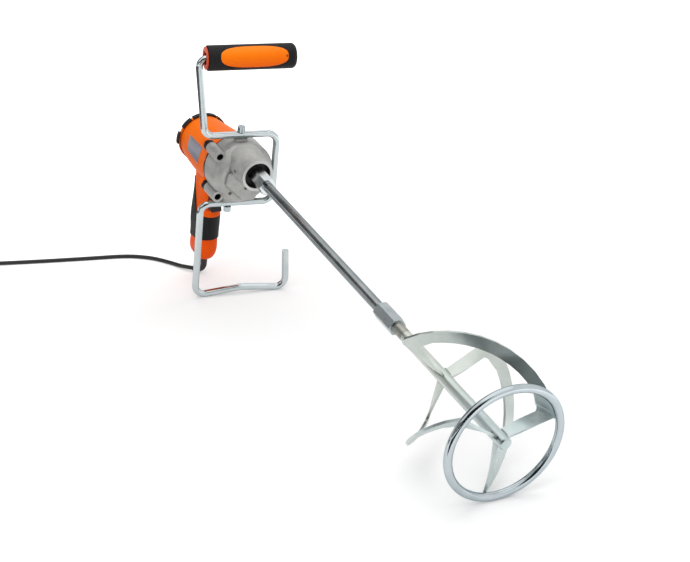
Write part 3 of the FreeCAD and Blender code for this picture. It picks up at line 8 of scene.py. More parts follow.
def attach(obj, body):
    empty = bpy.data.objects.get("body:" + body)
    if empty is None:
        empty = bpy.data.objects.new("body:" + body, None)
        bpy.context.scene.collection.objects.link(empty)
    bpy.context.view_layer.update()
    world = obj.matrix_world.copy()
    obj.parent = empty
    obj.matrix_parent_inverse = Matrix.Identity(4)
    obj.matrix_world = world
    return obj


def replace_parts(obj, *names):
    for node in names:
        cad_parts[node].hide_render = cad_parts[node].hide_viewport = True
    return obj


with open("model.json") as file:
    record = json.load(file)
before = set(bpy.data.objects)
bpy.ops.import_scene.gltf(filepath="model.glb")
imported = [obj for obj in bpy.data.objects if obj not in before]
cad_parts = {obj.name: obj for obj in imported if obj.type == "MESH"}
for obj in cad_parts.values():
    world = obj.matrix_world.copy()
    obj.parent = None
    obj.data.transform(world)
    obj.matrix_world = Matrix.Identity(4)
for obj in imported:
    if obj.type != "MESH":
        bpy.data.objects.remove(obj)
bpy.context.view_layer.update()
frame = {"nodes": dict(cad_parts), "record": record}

nodes = frame["nodes"]
scene = bpy.context.scene
scene.view_settings.view_transform = "Standard"
print("frame loaded:", len(nodes), "nodes")

# camera, as the photograph was taken: a long lens, well back and above
viewpoint = {"place": (-0.893705, -1.795389, 0.8408), "turn": (70.095, 0.0, -26.94), "lens": 94.01,
             "sensor": 36.0}
cameraData = bpy.data.cameras.new("photoCamera")
cameraData.lens = viewpoint["lens"]
cameraData.sensor_width = viewpoint["sensor"]
cameraData.sensor_fit = "HORIZONTAL"
camera = bpy.data.objects.new("photoCamera", cameraData)
camera.location = viewpoint["place"]
camera.rotation_euler = [math.radians(a) for a in viewpoint["turn"]]
scene.collection.objects.link(camera)
scene.camera = camera
print("camera set")

# mains lead: from the sleeve over the floor, then the tied coil and its tail, as control points of one spline
# (mm, but metres for its whole length and for where it leaves the sleeve)
lead = {
    "radius": 2.8, "length": 1.901, "exit": (-0.0117, 0.4059, 0.0048),
    "route": [(-8.1, 401.1, 4.8), (-11.7, 405.9, 4.8), (-18.3, 414.7, 4.8), (-22.5, 427.5, 3.2),
              (-29.2, 445.5, 2.8), (-36.3, 460.6, 2.8), (-44.8, 475.1, 2.8), (-54.3, 485.5, 2.8),
              (-67.8, 496.6, 2.8), (-85.8, 504.8, 2.8), (-105.8, 510.1, 2.8), (-135.8, 518.4, 2.8),
              (-182.8, 532.1, 2.8), (-238.5, 549.0, 3.2), (-278.8, 561.4, 4.2), (-311.3, 571.3, 4.2)],
    "heading": (-0.957024, 0.290007, 0.0), "straight": 5.6, "turnRadius": 44.5, "turnStep": 6.2,
    "halfTurns": 7, "pointsInHalf": 8, "swell": 1.0194, "tail": 46.0, "intoPlug": 6.0, "roundness": 6,
    "smooth": 8, "order": 3,
}


def coilPoints(spec):
    ahead = Vector(spec["heading"])
    side = Vector((ahead.y, -ahead.x, 0.0))
    at = Vector(spec["route"][-1]) + ahead * spec["straight"]
    reach = spec["turnRadius"]
    points = []
    for i in range(2 * spec["halfTurns"]):
        climb = spec["turnStep"] if i == spec["halfTurns"] else 0.0
        middle = at + side * reach
        for k in range(spec["pointsInHalf"]):
            share = (k + 0.5) / spec["pointsInHalf"]
            angle = math.pi * share
            out = ahead * math.sin(angle) - side * math.cos(angle)
            points.append(middle + out * (reach * spec["swell"]) + Vector((0, 0, climb * share)))
        at = at + side * (2 * reach) + Vector((0, 0, climb))
        ahead, side = -ahead, -side
        reach += spec["turnStep"] / 2 if i >= spec["halfTurns"] else -spec["turnStep"] / 2
    points.append(at + ahead * spec["straight"])
    points.append(at + ahead * (spec["straight"] + spec["tail"] * 0.5))
    points.append(at + ahead * (spec["straight"] + spec["tail"] + spec["intoPlug"]))
    return points


leadCurve = bpy.data.curves.new("mainsLead", "CURVE")
leadCurve.dimensions = "3D"
leadCurve.bevel_depth = 1.0  # the points carry the jacket's radius
leadCurve.bevel_resolution = lead["roundness"]
leadCurve.resolution_u = lead["smooth"]
leadCurve.use_fill_caps = True
spline = leadCurve.splines.new("NURBS")
leadPoints = [Vector(p) for p in lead["route"]] + coilPoints(lead)
spline.points.add(len(leadPoints) - 1)
for knot, p in zip(spline.points, leadPoints):
    knot.co = (p.x / 1000, p.y / 1000, p.z / 1000, 1.0)
    knot.radius = lead["radius"] / 1000
spline.order_u = lead["order"]
spline.use_endpoint_u = True
mainsLead = bpy.data.objects.new("mainsLead", leadCurve)
scene.collection.objects.link(mainsLead)
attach(mainsLead, "tool")
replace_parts(mainsLead, "power_cord", "cord_coil", "cord_tail")
print("mains lead laid:", len(leadPoints), "points")


def bareMaterial(name):
    material = bpy.data.materials.new(name)
    material.use_nodes = True
    tree = material.node_tree
    tree.nodes.clear()
    return material, tree, tree.nodes.new("ShaderNodeOutputMaterial")


def shadedMaterial(name):
    material, tree, out = bareMaterial(name)
    shader = tree.nodes.new("ShaderNodeBsdfPrincipled")
    tree.links.new(shader.outputs["BSDF"], out.inputs["Surface"])
    place = tree.nodes.new("ShaderNodeTexCoord")
    return material, tree, shader, place.outputs["Object"]


def newGroup(name, inputs, outputs):
    group = bpy.data.node_groups.new(name, "ShaderNodeTree")
    for label, kind, value in inputs:
        socket = group.interface.new_socket(name=label, in_out="INPUT", socket_type=kind)
        if value is not None:
            socket.default_value = value
    for label, kind in outputs:
        group.interface.new_socket(name=label, in_out="OUTPUT", socket_type=kind)
    return group, group.nodes.new("NodeGroupInput"), group.nodes.new("NodeGroupOutput")


def addMath(tree, operation, a, b=None, clamp=False):
    node = tree.nodes.new("ShaderNodeMath")
    node.operation = operation
    node.use_clamp = clamp
    for socket, value in zip(node.inputs, (a, b)):
        if value is None:
            continue
        if isinstance(value, (int, float)):
            socket.default_value = value
        else:
            tree.links.new(value, socket)
    return node.outputs[0]


def addNoise(tree, place, scale, detail=3.0, rough=0.55):
    node = tree.nodes.new("ShaderNodeTexNoise")
    node.inputs["Detail"].default_value = detail
    node.inputs["Roughness"].default_value = rough
    if isinstance(scale, (int, float)):
        node.inputs["Scale"].default_value = scale
    else:
        tree.links.new(scale, node.inputs["Scale"])
    tree.links.new(place, node.inputs["Vector"])
    return node.outputs["Fac"]


def addRange(tree, value, low, high, outLow, outHigh):
    node = tree.nodes.new("ShaderNodeMapRange")
    for label, v in (("From Min", low), ("From Max", high), ("To Min", outLow), ("To Max", outHigh)):
        if isinstance(v, (int, float)):
            node.inputs[label].default_value = v
        else:
            tree.links.new(v, node.inputs[label])
    tree.links.new(value, node.inputs["Value"])
    return node.outputs["Result"]


# the Mix node has its colours at inputs 6 and 7 and at output 2
def addMix(tree, factor, a, b):
    node = tree.nodes.new("ShaderNodeMix")
    node.data_type = "RGBA"
    for socket, value in ((node.inputs[0], factor), (node.inputs[6], a), (node.inputs[7], b)):
        if isinstance(value, (int, float, tuple)):
            socket.default_value = value
        else:
            tree.links.new(value, socket)
    return node.outputs[2]


# grain: fine height for moulded, cast and rubbed faces, with a slow drift of shade
grainLook = {"scale": 900.0, "drift": 18.0, "fineDetail": 2.0, "slowDetail": 4.0}


def makeGrain():
    group, given, out = newGroup(
        "fineGrain", [("Place", "NodeSocketVector", None), ("Scale", "NodeSocketFloat", grainLook["scale"]),
                      ("Drift", "NodeSocketFloat", grainLook["drift"])],
        [("Height", "NodeSocketFloat"), ("Shade", "NodeSocketFloat")])
    fine = addNoise(group, given.outputs["Place"], given.outputs["Scale"], grainLook["fineDetail"])
    slow = addNoise(group, given.outputs["Place"], given.outputs["Drift"], grainLook["slowDetail"])
    group.links.new(fine, out.inputs["Height"])
    group.links.new(slow, out.inputs["Shade"])
    return group


# wear: how sharply the face turns, broken up by noise, so that edges look rubbed
wearLook = {"width": 0.0008, "scale": 160.0, "detail": 4.0, "samples": 4, "flat": 0.995, "sharp": 0.86,
            "patchLow": 0.38, "patchHigh": 0.66}


def makeWear():
    group, given, out = newGroup(
        "edgeWear", [("Place", "NodeSocketVector", None), ("Width", "NodeSocketFloat", wearLook["width"]),
                     ("Scale", "NodeSocketFloat", wearLook["scale"])], [("Mask", "NodeSocketFloat")])
    bevel = group.nodes.new("ShaderNodeBevel")
    bevel.samples = wearLook["samples"]
    group.links.new(given.outputs["Width"], bevel.inputs["Radius"])
    face = group.nodes.new("ShaderNodeNewGeometry")
    dot = group.nodes.new("ShaderNodeVectorMath")
    dot.operation = "DOT_PRODUCT"
    group.links.new(bevel.outputs["Normal"], dot.inputs[0])
    group.links.new(face.outputs["Normal"], dot.inputs[1])
    edge = addRange(group, dot.outputs["Value"], wearLook["flat"], wearLook["sharp"], 0.0, 1.0)
    patch = addNoise(group, given.outputs["Place"], given.outputs["Scale"], wearLook["detail"])
    rub = addRange(group, patch, wearLook["patchLow"], wearLook["patchHigh"], 0.0, 1.0)
    group.links.new(addMath(group, "MULTIPLY", edge, rub, True), out.inputs["Mask"])
    return group


grainGroup = makeGrain()
wearGroup = makeWear()


def placeGroup(tree, group, place, **values):
    node = tree.nodes.new("ShaderNodeGroup")
    node.node_tree = group
    tree.links.new(place, node.inputs["Place"])
    for label, value in values.items():
        node.inputs[label].default_value = value
    return node


def addBump(tree, shader, height, strength, distance):
    bump = tree.nodes.new("ShaderNodeBump")
    bump.inputs["Strength"].default_value = strength
    bump.inputs["Distance"].default_value = distance
    tree.links.new(height, bump.inputs["Height"])
    tree.links.new(bump.outputs["Normal"], shader.inputs["Normal"])


# how the drill stands: nose rim and tilt, so that pieces and marks can be placed along the spindle (mm)
stance = {"nose": (-2.005, 201.961, 190.6), "tilt": 11.53}
toolTurn = Matrix.Rotation(math.radians(stance["tilt"]), 3, "X")


def onTool(x, y, z):
    return (toolTurn @ Vector((x, y, z)) + Vector(stance["nose"])) / 1000


# the place on the surface in the drill's own axes, metres from the middle of the nose rim
def addToolPlace(tree, place):
    shift = tree.nodes.new("ShaderNodeVectorMath")
    shift.operation = "SUBTRACT"
    tree.links.new(place, shift.inputs[0])
    shift.inputs[1].default_value = [v / 1000 for v in stance["nose"]]
    turn = tree.nodes.new("ShaderNodeVectorRotate")
    turn.rotation_type = "X_AXIS"
    turn.inputs["Angle"].default_value = -math.radians(stance["tilt"])
    tree.links.new(shift.outputs[0], turn.inputs["Vector"])
    split = tree.nodes.new("ShaderNodeSeparateXYZ")
    tree.links.new(turn.outputs[0], split.inputs[0])
    return turn.outputs[0], split.outputs


# one finish: two near shades, grain in the height, rough patches and rubbed edges; far shades take over along
# an axis, and a last function, when given, lays painted shade and painted highlight over the colour
finishLook = {"shadeSpan": (0.32, 0.68), "roughSpan": (0.25, 0.75), "bumpDepth": 0.0004}


def makeFinish(name, dark, light, edge, rough, metal=0.0, grain=grainLook["scale"],
               drift=grainLook["drift"], bump=0.25, wear=wearLook["width"], wearBy=0.5, gloss=0.5, far=None,
               paintedLight=None):
    material, tree, shader, place = shadedMaterial(name)
    spread = placeGroup(tree, grainGroup, place, Scale=grain, Drift=drift)
    shade = addRange(tree, spread.outputs["Shade"], *finishLook["shadeSpan"], 0.0, 1.0)
    body = addMix(tree, shade, dark + (1.0,), light + (1.0,))
    if far:
        split = tree.nodes.new("ShaderNodeSeparateXYZ")
        tree.links.new(place, split.inputs[0])
        share = addRange(tree, split.outputs[far["axis"]], far["from"], far["to"], 0.0, 1.0)
        body = addMix(tree, share, body, addMix(tree, shade, far["dark"] + (1.0,), far["light"] + (1.0,)))
    rubbed = placeGroup(tree, wearGroup, place, Width=wear)
    mask = addMath(tree, "MULTIPLY", rubbed.outputs["Mask"], wearBy)
    body = addMix(tree, mask, body, edge + (1.0,))
    if paintedLight:
        body = paintedLight(tree, place, body)
    tree.links.new(body, shader.inputs["Base Color"])
    dull = addRange(tree, spread.outputs["Shade"], *finishLook["roughSpan"], *rough)
    tree.links.new(dull, shader.inputs["Roughness"])
    shader.inputs["Metallic"].default_value = metal
    shader.inputs["Specular IOR Level"].default_value = gloss
    addBump(tree, shader, spread.outputs["Height"], bump, finishLook["bumpDepth"])
    return material


# the cast case: a painted highlight on the front edge of the nose rim, and painted shade in the hollows and
# in
# three small pits, by place and radius (mm); the nose's bore and the screw holes are painted dark as shade:
# place across the spindle, radius, where the dark begins and where it is full (mm)
caseShading = {
    "rim": 0.0006, "rimSoft": 0.6, "rimHighlight": (0.62, 0.62, 0.60),
    "hollowShade": 0.006, "hollowShadeSpan": (0.42, 0.86), "hollowShadeBy": 0.6, "hollowShadeColour": (0.10, 0.10, 0.095),
    "samples": 8, "holeShade": (0.018, 0.015, 0.013),
    "wells": [((0.0, 0.0), 17.8, 0.7, 3.5), ((-34.01, 10.54), 4.7, 43.1, 45.0),
              ((-34.01, -46.54), 4.7, 43.1, 45.0), ((34.01, -46.54), 4.7, 43.1, 45.0)],
    "pits": [((-24.0, 223.5, 194.0), 2.4), ((-4.0, 235.5, 166.1), 3.0), ((-23.7, 241.9, 159.7), 2.7)],
    "pitSpan": (0.0006, 0.0012), "pitBy": 0.9, "pitPaintedShade": (0.03, 0.03, 0.03),
}


def paintCaseShading(tree, place, body):
    # painted shade: the case is made darker where occlusion finds hollows and creases
    hollow = tree.nodes.new("ShaderNodeAmbientOcclusion")
    hollow.only_local = True
    hollow.samples = caseShading["samples"]
    hollow.inputs["Distance"].default_value = caseShading["hollowShade"]
    hollowShade = addRange(tree, hollow.outputs["AO"], *caseShading["hollowShadeSpan"], caseShading["hollowShadeBy"], 0.0)
    body = addMix(tree, hollowShade, body, caseShading["hollowShadeColour"] + (1.0,))
    # painted shade: three small pits are painted dark
    for spot, radius in caseShading["pits"]:
        reach = tree.nodes.new("ShaderNodeVectorMath")
        reach.operation = "DISTANCE"
        tree.links.new(place, reach.inputs[0])
        reach.inputs[1].default_value = [v / 1000 for v in spot]
        core, edge = (radius * share for share in caseShading["pitSpan"])
        inside = addRange(tree, reach.outputs["Value"], core, edge, caseShading["pitBy"], 0.0)
        body = addMix(tree, inside, body, caseShading["pitPaintedShade"] + (1.0,))
    turned, split = addToolPlace(tree, place)
    flat = tree.nodes.new("ShaderNodeVectorMath")
    flat.operation = "MULTIPLY"
    flat.inputs[1].default_value = (1.0, 0.0, 1.0)  # leaves out the way along the spindle
    tree.links.new(turned, flat.inputs[0])
    # painted shade: the nose's bore and the screw holes are painted dark inside
    for (x, z), radius, begins, full in caseShading["wells"]:
        across = tree.nodes.new("ShaderNodeVectorMath")
        across.operation = "DISTANCE"
        tree.links.new(flat.outputs[0], across.inputs[0])
        across.inputs[1].default_value = (x / 1000, 0.0, z / 1000)
        inside = addMath(tree, "LESS_THAN", across.outputs["Value"], radius / 1000)
        behind = addRange(tree, split["Y"], begins / 1000, full / 1000, 0.0, 1.0)
        body = addMix(tree, addMath(tree, "MULTIPLY", inside, behind), body, caseShading["holeShade"] + (1.0,))
    # painted highlight: the front edge of the nose rim is made light
    rimHighlightMask = addRange(tree, split["Y"], caseShading["rim"] * caseShading["rimSoft"], caseShading["rim"], 1.0, 0.0)
    return addMix(tree, rimHighlightMask, body, caseShading["rimHighlight"] + (1.0,))


# seam: black band on the shell at the case: painted shade of the gap, and the black plate's rim in it
seam = {"end": 0.0800, "ragged": 0.0012, "raggedScale": 160.0, "raggedSpan": (0.3, 0.7), "low": -0.064,
        "shade": (0.012, 0.011, 0.011)}


def paintSeamShade(tree, place, body):
    turned, split = addToolPlace(tree, place)
    noise = addNoise(tree, turned, seam["raggedScale"])
    wander = addRange(tree, noise, *seam["raggedSpan"], -seam["ragged"], seam["ragged"])
    along = addMath(tree, "ADD", split["Y"], wander)
    ahead = addMath(tree, "LESS_THAN", along, seam["end"])
    high = addMath(tree, "GREATER_THAN", split["Z"], seam["low"])
    # painted shade: the shell is painted black in a ragged band at its front edge, above a set height
    return addMix(tree, addMath(tree, "MULTIPLY", ahead, high), body, seam["shade"] + (1.0,))


finishes = {
    "cast_aluminium": makeFinish(
        "castCase", (0.37, 0.372, 0.358), (0.47, 0.47, 0.452), (0.6, 0.6, 0.58), (0.38, 0.54), metal=0.5,
        grain=900.0, drift=110.0, bump=0.5, wear=0.0012, paintedLight=paintCaseShading),
    # painted light: the shell is painted lighter and yellower towards the top, where light falls on it
    "orange_shell": makeFinish(
        "orangeShell", (0.93, 0.088, 0.001), (0.96, 0.103, 0.0015), (0.95, 0.22, 0.03), (0.46, 0.58),
        grain=2200.0, bump=0.12, wearBy=0.25, gloss=0.12, paintedLight=paintSeamShade,
        far={"axis": "Z", "from": 0.06, "to": 0.225, "dark": (0.93, 0.155, 0.002),
             "light": (0.96, 0.175, 0.003)}),
    # painted light: the oval is painted lighter and yellower towards the top
    "orange_inlay": makeFinish(
        "orangeInlay", (0.96, 0.125, 0.001), (1.0, 0.145, 0.001), (1.0, 0.3, 0.02), (0.42, 0.52),
        grain=2600.0, bump=0.1, wearBy=0.3, gloss=0.12,
        far={"axis": "Z", "from": 0.326, "to": 0.350, "dark": (0.97, 0.205, 0.001),
             "light": (1.0, 0.235, 0.001)}),
    "red_core": makeFinish(
        "redCore", (0.62, 0.05, 0.004), (0.7, 0.07, 0.006), (0.8, 0.13, 0.03), (0.36, 0.48), grain=2200.0,
        bump=0.12, wearBy=0.3, gloss=0.35),
    "black_shell": makeFinish(
        "blackShell", (0.009, 0.009, 0.0095), (0.015, 0.015, 0.0155), (0.04, 0.04, 0.04), (0.4, 0.55),
        grain=1700.0, bump=0.2, gloss=0.35),
    "black_rubber": makeFinish(
        "blackRubber", (0.006, 0.0058, 0.006), (0.011, 0.0105, 0.011), (0.03, 0.03, 0.03), (0.5, 0.66),
        grain=1300.0, bump=0.4, gloss=0.22),
    "zinc_steel": makeFinish(
        "brightZinc", (0.44, 0.50, 0.53), (0.54, 0.595, 0.62), (0.80, 0.82, 0.83), (0.10, 0.18),
        metal=1.0, grain=700.0, drift=30.0, bump=0.02, wear=0.0006),
    "ground_steel": makeFinish(
        "groundSteel", (0.5, 0.51, 0.52), (0.6, 0.61, 0.62), (0.75, 0.75, 0.76), (0.22, 0.34), metal=1.0,
        grain=1600.0, bump=0.06),
    "gear_steel": makeFinish(
        "gearSteel", (0.34, 0.34, 0.35), (0.42, 0.42, 0.43), (0.6, 0.6, 0.6), (0.3, 0.42), metal=1.0,
        grain=1600.0, bump=0.1),
    "bearing_steel": makeFinish(
        "bearingSteel", (0.5, 0.51, 0.52), (0.58, 0.59, 0.6), (0.7, 0.7, 0.7), (0.16, 0.26), metal=1.0,
        grain=1600.0, bump=0.04),
    "lamination": makeFinish(
        "stackedSheet", (0.12, 0.12, 0.125), (0.18, 0.18, 0.185), (0.3, 0.3, 0.3), (0.42, 0.55),
        metal=0.8, grain=1500.0, bump=0.3),
    "copper_wire": makeFinish(
        "enamelledCopper", (0.36, 0.11, 0.035), (0.48, 0.16, 0.05), (0.55, 0.22, 0.08), (0.28, 0.4),
        metal=0.7, grain=1200.0, bump=0.4),
    "copper_bar": makeFinish(
        "turnedCopper", (0.5, 0.2, 0.1), (0.58, 0.25, 0.13), (0.7, 0.35, 0.2), (0.22, 0.32), metal=1.0,
        grain=1700.0, bump=0.1),
    "brass_sheet": makeFinish(
        "stampedBrass", (0.5, 0.35, 0.1), (0.58, 0.41, 0.13), (0.7, 0.55, 0.25), (0.24, 0.36), metal=1.0,
        grain=1500.0, bump=0.1),
    "carbon": makeFinish(
        "pressedCarbon", (0.018, 0.018, 0.02), (0.03, 0.03, 0.033), (0.06, 0.06, 0.06), (0.5, 0.65),
        grain=1400.0, bump=0.3),
    "bronze_bush": makeFinish(
        "sinteredBronze", (0.36, 0.2, 0.06), (0.44, 0.25, 0.08), (0.55, 0.35, 0.15), (0.4, 0.52),
        metal=0.9, grain=1500.0, bump=0.3),
    "black_screw": makeFinish(
        "blackenedSteel", (0.03, 0.03, 0.032), (0.05, 0.05, 0.053), (0.2, 0.2, 0.2), (0.32, 0.45),
        metal=0.8, grain=1500.0, bump=0.1),
    "seal_rubber": makeFinish(
        "sealRubber", (0.014, 0.014, 0.014), (0.022, 0.022, 0.022), (0.04, 0.04, 0.04), (0.45, 0.6),
        grain=1500.0, bump=0.2),
    "grey_plastic": makeFinish(
        "greyPlastic", (0.06, 0.06, 0.064), (0.085, 0.085, 0.09), (0.13, 0.13, 0.13), (0.42, 0.55),
        grain=1700.0, bump=0.2),
    "cord_rubber": makeFinish(
        "cordJacket", (0.008, 0.008, 0.009), (0.014, 0.014, 0.015), (0.03, 0.03, 0.03), (0.42, 0.55),
        grain=1200.0, bump=0.2),
    "plug_plastic": makeFinish(
        "plugPlastic", (0.009, 0.009, 0.01), (0.016, 0.016, 0.017), (0.04, 0.04, 0.04), (0.4, 0.52),
        grain=1500.0, bump=0.2),
    "pin_metal": makeFinish(
        "nickelPin", (0.55, 0.53, 0.48), (0.65, 0.63, 0.58), (0.75, 0.73, 0.7), (0.16, 0.26), metal=1.0,
        grain=1500.0, bump=0.03),
}
# zinc that looks different by piece: satin strips, the drawn rod, the nut and the frame's bar
# the satin strips turn warmer towards the rod end and are painted lighter there, as painted light
satinZinc = makeFinish(
    "satinZinc", (0.46, 0.535, 0.535), (0.56, 0.63, 0.63), (0.72, 0.75, 0.75), (0.27, 0.37), metal=1.0,
    grain=900.0, drift=40.0, bump=0.05, wear=0.0006,
    far={"axis": "Y", "from": -0.36, "to": -0.24, "dark": (0.52, 0.55, 0.50), "light": (0.62, 0.65, 0.60)})
# painted light: the frame's bar has its own lighter copy of the bright zinc, so that it looks more lit
barZinc = makeFinish(
    "barZinc", (0.52, 0.575, 0.59), (0.61, 0.66, 0.675), (0.80, 0.82, 0.83), (0.10, 0.18), metal=1.0,
    grain=700.0, drift=30.0, bump=0.02, wear=0.0006)
# rod: drawn zinc painted darker overall as painted shade, and a painted highlight on the collar at its upper
# end
collarHighlight = {"end": -0.0312, "shade": (0.78, 0.81, 0.81)}


def paintCollarHighlight(tree, place, body):
    turned, split = addToolPlace(tree, place)
    # painted highlight: the collar above its end is made bright
    above = addMath(tree, "GREATER_THAN", split["Y"], collarHighlight["end"])
    return addMix(tree, above, body, collarHighlight["shade"] + (1.0,))


# painted shade: the rod's zinc is made darker overall
drawnZinc = makeFinish(
    "drawnZinc", (0.29, 0.31, 0.318), (0.37, 0.39, 0.398), (0.6, 0.61, 0.61), (0.16, 0.26), metal=1.0,
    grain=800.0, drift=34.0, bump=0.03, wear=0.0006, paintedLight=paintCollarHighlight)
blueZinc = makeFinish(
    "blueZinc", (0.36, 0.40, 0.42), (0.45, 0.49, 0.505), (0.75, 0.77, 0.78), (0.24, 0.34), metal=1.0,
    grain=900.0, drift=60.0, bump=0.05, wear=0.0009, wearBy=0.8)
ownFinish = {"whisk_blade_1": satinZinc, "whisk_blade_2": satinZinc, "whisk_blade_3": satinZinc,
             "whisk_shaft": satinZinc, "extension_rod": drawnZinc, "coupling_nut": blueZinc,
             "handle_bar": barZinc, "bearing_plate": finishes["black_shell"]}
mirrorTint = (0.5, 0.56, 0.58, 1.0)  # of what the bright zinc mirrors at grazing angles
for metal in (finishes["zinc_steel"], barZinc, drawnZinc):
    for node in metal.node_tree.nodes:
        if node.type == "BSDF_PRINCIPLED":
            node.inputs["Specular Tint"].default_value = mirrorTint
for part in frame["record"]["subparts"]:
    shown = nodes[part["node"]]
    shown.data.materials.clear()
    shown.data.materials.append(ownFinish.get(part["node"], finishes[part["material_slot"]]))
mainsLead.data.materials.append(finishes["cord_rubber"])
print("finishes laid on", len(nodes), "nodes")


def freshStart():
    if bpy.context.object and bpy.context.object.mode != "OBJECT":
        bpy.ops.object.mode_set(mode="OBJECT")
    bpy.ops.object.select_all(action="DESELECT")


def pick(piece, kind, wanted):
    bpy.ops.mesh.select_mode(type=kind)
    bpy.ops.mesh.select_all(action="DESELECT")
    mesh = bmesh.from_edit_mesh(piece.data)
    for item in {"VERT": mesh.verts, "EDGE": mesh.edges, "FACE": mesh.faces}[kind]:
        corners = [item.co] if kind == "VERT" else [v.co for v in item.verts]
        if all(wanted(c) for c in corners):
            item.select_set(True)
    mesh.select_flush_mode()
    bmesh.update_edit_mesh(piece.data)


def settle(piece, name, body, finish, smooth=30.0):
    freshStart()
    piece.select_set(True)
    bpy.context.view_layer.objects.active = piece
    bpy.ops.object.transform_apply(location=True, rotation=True, scale=True)
    bpy.ops.object.shade_smooth_by_angle(angle=math.radians(smooth))
    piece.data.update()
    piece.update_tag()
    piece.name = name
    piece.data.name = name
    piece.data.materials.clear()
    piece.data.materials.append(finish)
    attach(piece, body)


# modifiers that new pieces share; the piece is the active object, and sizes are in mm
def layOn(piece, target, axis, forward, rise):
    wrap = piece.modifiers.new("layOn", "SHRINKWRAP")
    wrap.target = target
    wrap.wrap_method = "PROJECT"
    wrap.use_project_x = axis == "X"
    wrap.use_project_z = axis == "Z"
    wrap.use_positive_direction = forward
    wrap.use_negative_direction = not forward
    wrap.offset = rise / 1000
    bpy.ops.object.modifier_apply(modifier="layOn")


def giveWall(piece, thick, side):
    wall = piece.modifiers.new("thickness", "SOLIDIFY")
    wall.thickness = thick / 1000
    wall.offset = side
    bpy.ops.object.modifier_apply(modifier="thickness")


def softenEdges(piece, spec):
    soft = piece.modifiers.new("softEdge", "BEVEL")
    soft.width = spec["edge"] / 1000
    soft.segments = spec["segments"]
    soft.limit_method = "ANGLE"
    soft.angle_limit = math.radians(spec["limit"])
    bpy.ops.object.modifier_apply(modifier="softEdge")


def copyOf(pattern):
    piece = pattern.copy()
    piece.data = pattern.data.copy()
    scene.collection.objects.link(piece)
    return piece


touching = 1e-6  # metres: points nearer than this are the same point
ringSlack = 0.05  # mm: how far past the bore its rim is still picked


def makeHollowRing(spec):
    freshStart()
    bpy.ops.mesh.primitive_cylinder_add(vertices=spec["sides"], radius=spec["outer"] / 1000,
                                        depth=spec["wide"] / 1000)
    ring = bpy.context.object
    bpy.ops.object.mode_set(mode="EDIT")
    for low in (True, False):
        pick(ring, "FACE", lambda c: (c.z < 0) == low)
        bpy.ops.mesh.inset(thickness=(spec["outer"] - spec["inner"]) / 1000)
    pick(ring, "FACE", lambda c: c.xy.length < (spec["inner"] + ringSlack) / 1000)
    bpy.ops.mesh.bridge_edge_loops()
    bpy.ops.object.mode_set(mode="OBJECT")
    softenEdges(ring, spec)
    return ring


# bare plate on the barrel's left: a square whose corners are drawn to their places, laid on the shell as a
# thin sheet
plate = {"middle": (-70.0, 325.0, 200.0), "half": 20.0, "cuts": 15, "thick": 0.5, "rise": 0.25, "edge": 0.15,
         "segments": 2, "limit": 50.0,
         "corners": [(350.5, 211.8), (299.8, 207.2), (305.4, 184.9), (345.9, 193.3)]}
plateMiddle = Vector(plate["middle"]) / 1000
plateHalf = plate["half"] / 1000
freshStart()
bpy.ops.mesh.primitive_plane_add(size=2 * plateHalf, location=plateMiddle,
                                 rotation=(math.radians(90), 0, math.radians(-90)))
labelPlate = bpy.context.object
bpy.ops.object.transform_apply(location=True, rotation=True, scale=True)
bpy.ops.object.mode_set(mode="EDIT")
for y, z in plate["corners"]:
    end = Vector((plateMiddle.x, y / 1000, z / 1000))
    corner = plateMiddle + Vector((0, math.copysign(plateHalf, end.y - plateMiddle.y),
                                   math.copysign(plateHalf, end.z - plateMiddle.z)))
    here = [v.co.copy() for v in bmesh.from_edit_mesh(labelPlate.data).verts]
    spot = min(here, key=lambda c: (c - corner).length)
    pick(labelPlate, "VERT", lambda c: (c - spot).length < touching)
    bpy.ops.transform.translate(value=(0, end.y - spot.y, end.z - spot.z))
bpy.ops.mesh.select_all(action="SELECT")
bpy.ops.mesh.subdivide(number_cuts=plate["cuts"])
bpy.ops.object.mode_set(mode="OBJECT")
layOn(labelPlate, nodes["housing_left"], "X", True, plate["rise"])
giveWall(labelPlate, plate["thick"], 0.0)
softenEdges(labelPlate, plate)
plateFinish = makeFinish(
    "barePlate", (0.22, 0.225, 0.285), (0.30, 0.305, 0.36), (0.5, 0.5, 0.52), (0.34, 0.46), metal=0.35,
    grain=1800.0, drift=45.0, bump=0.06)
settle(labelPlate, "labelPlate", "tool", plateFinish)
print("bare plate laid on the shell")

# thread on the whisk's stud, where it comes out of the coupling nut
thread = {"start": -398.6, "pitch": 2.0, "turns": 9, "root": 6.55, "crest": 7.35, "steps": 28}
triangleHeight = 1.5  # of an equilateral triangle, in radii
freshStart()
tooth = (thread["crest"] - thread["root"]) / triangleHeight
toothMiddle = ((thread["root"] + tooth / 2) / 1000, 0, 0)
bpy.ops.mesh.primitive_circle_add(vertices=3, radius=tooth / 1000, rotation=(math.radians(90), 0, 0),
                                  location=toothMiddle)
studThread = bpy.context.object
bpy.ops.object.transform_apply(location=False, rotation=True, scale=True)
bpy.ops.object.mode_set(mode="EDIT")
bpy.ops.mesh.select_all(action="SELECT")
bpy.ops.transform.rotate(value=math.radians(90), orient_axis="Y", center_override=toothMiddle)
bpy.ops.object.mode_set(mode="OBJECT")
bpy.ops.object.transform_apply(location=True, rotation=True, scale=True)
wind = studThread.modifiers.new("wind", "SCREW")
wind.axis = "Z"
wind.screw_offset = thread["pitch"] / 1000
wind.iterations = thread["turns"]
wind.steps = thread["steps"]
wind.render_steps = thread["steps"]
bpy.ops.object.modifier_apply(modifier="wind")
bpy.ops.object.mode_set(mode="EDIT")
bpy.ops.mesh.select_all(action="SELECT")
bpy.ops.mesh.remove_doubles(threshold=touching)
bpy.ops.mesh.select_all(action="DESELECT")
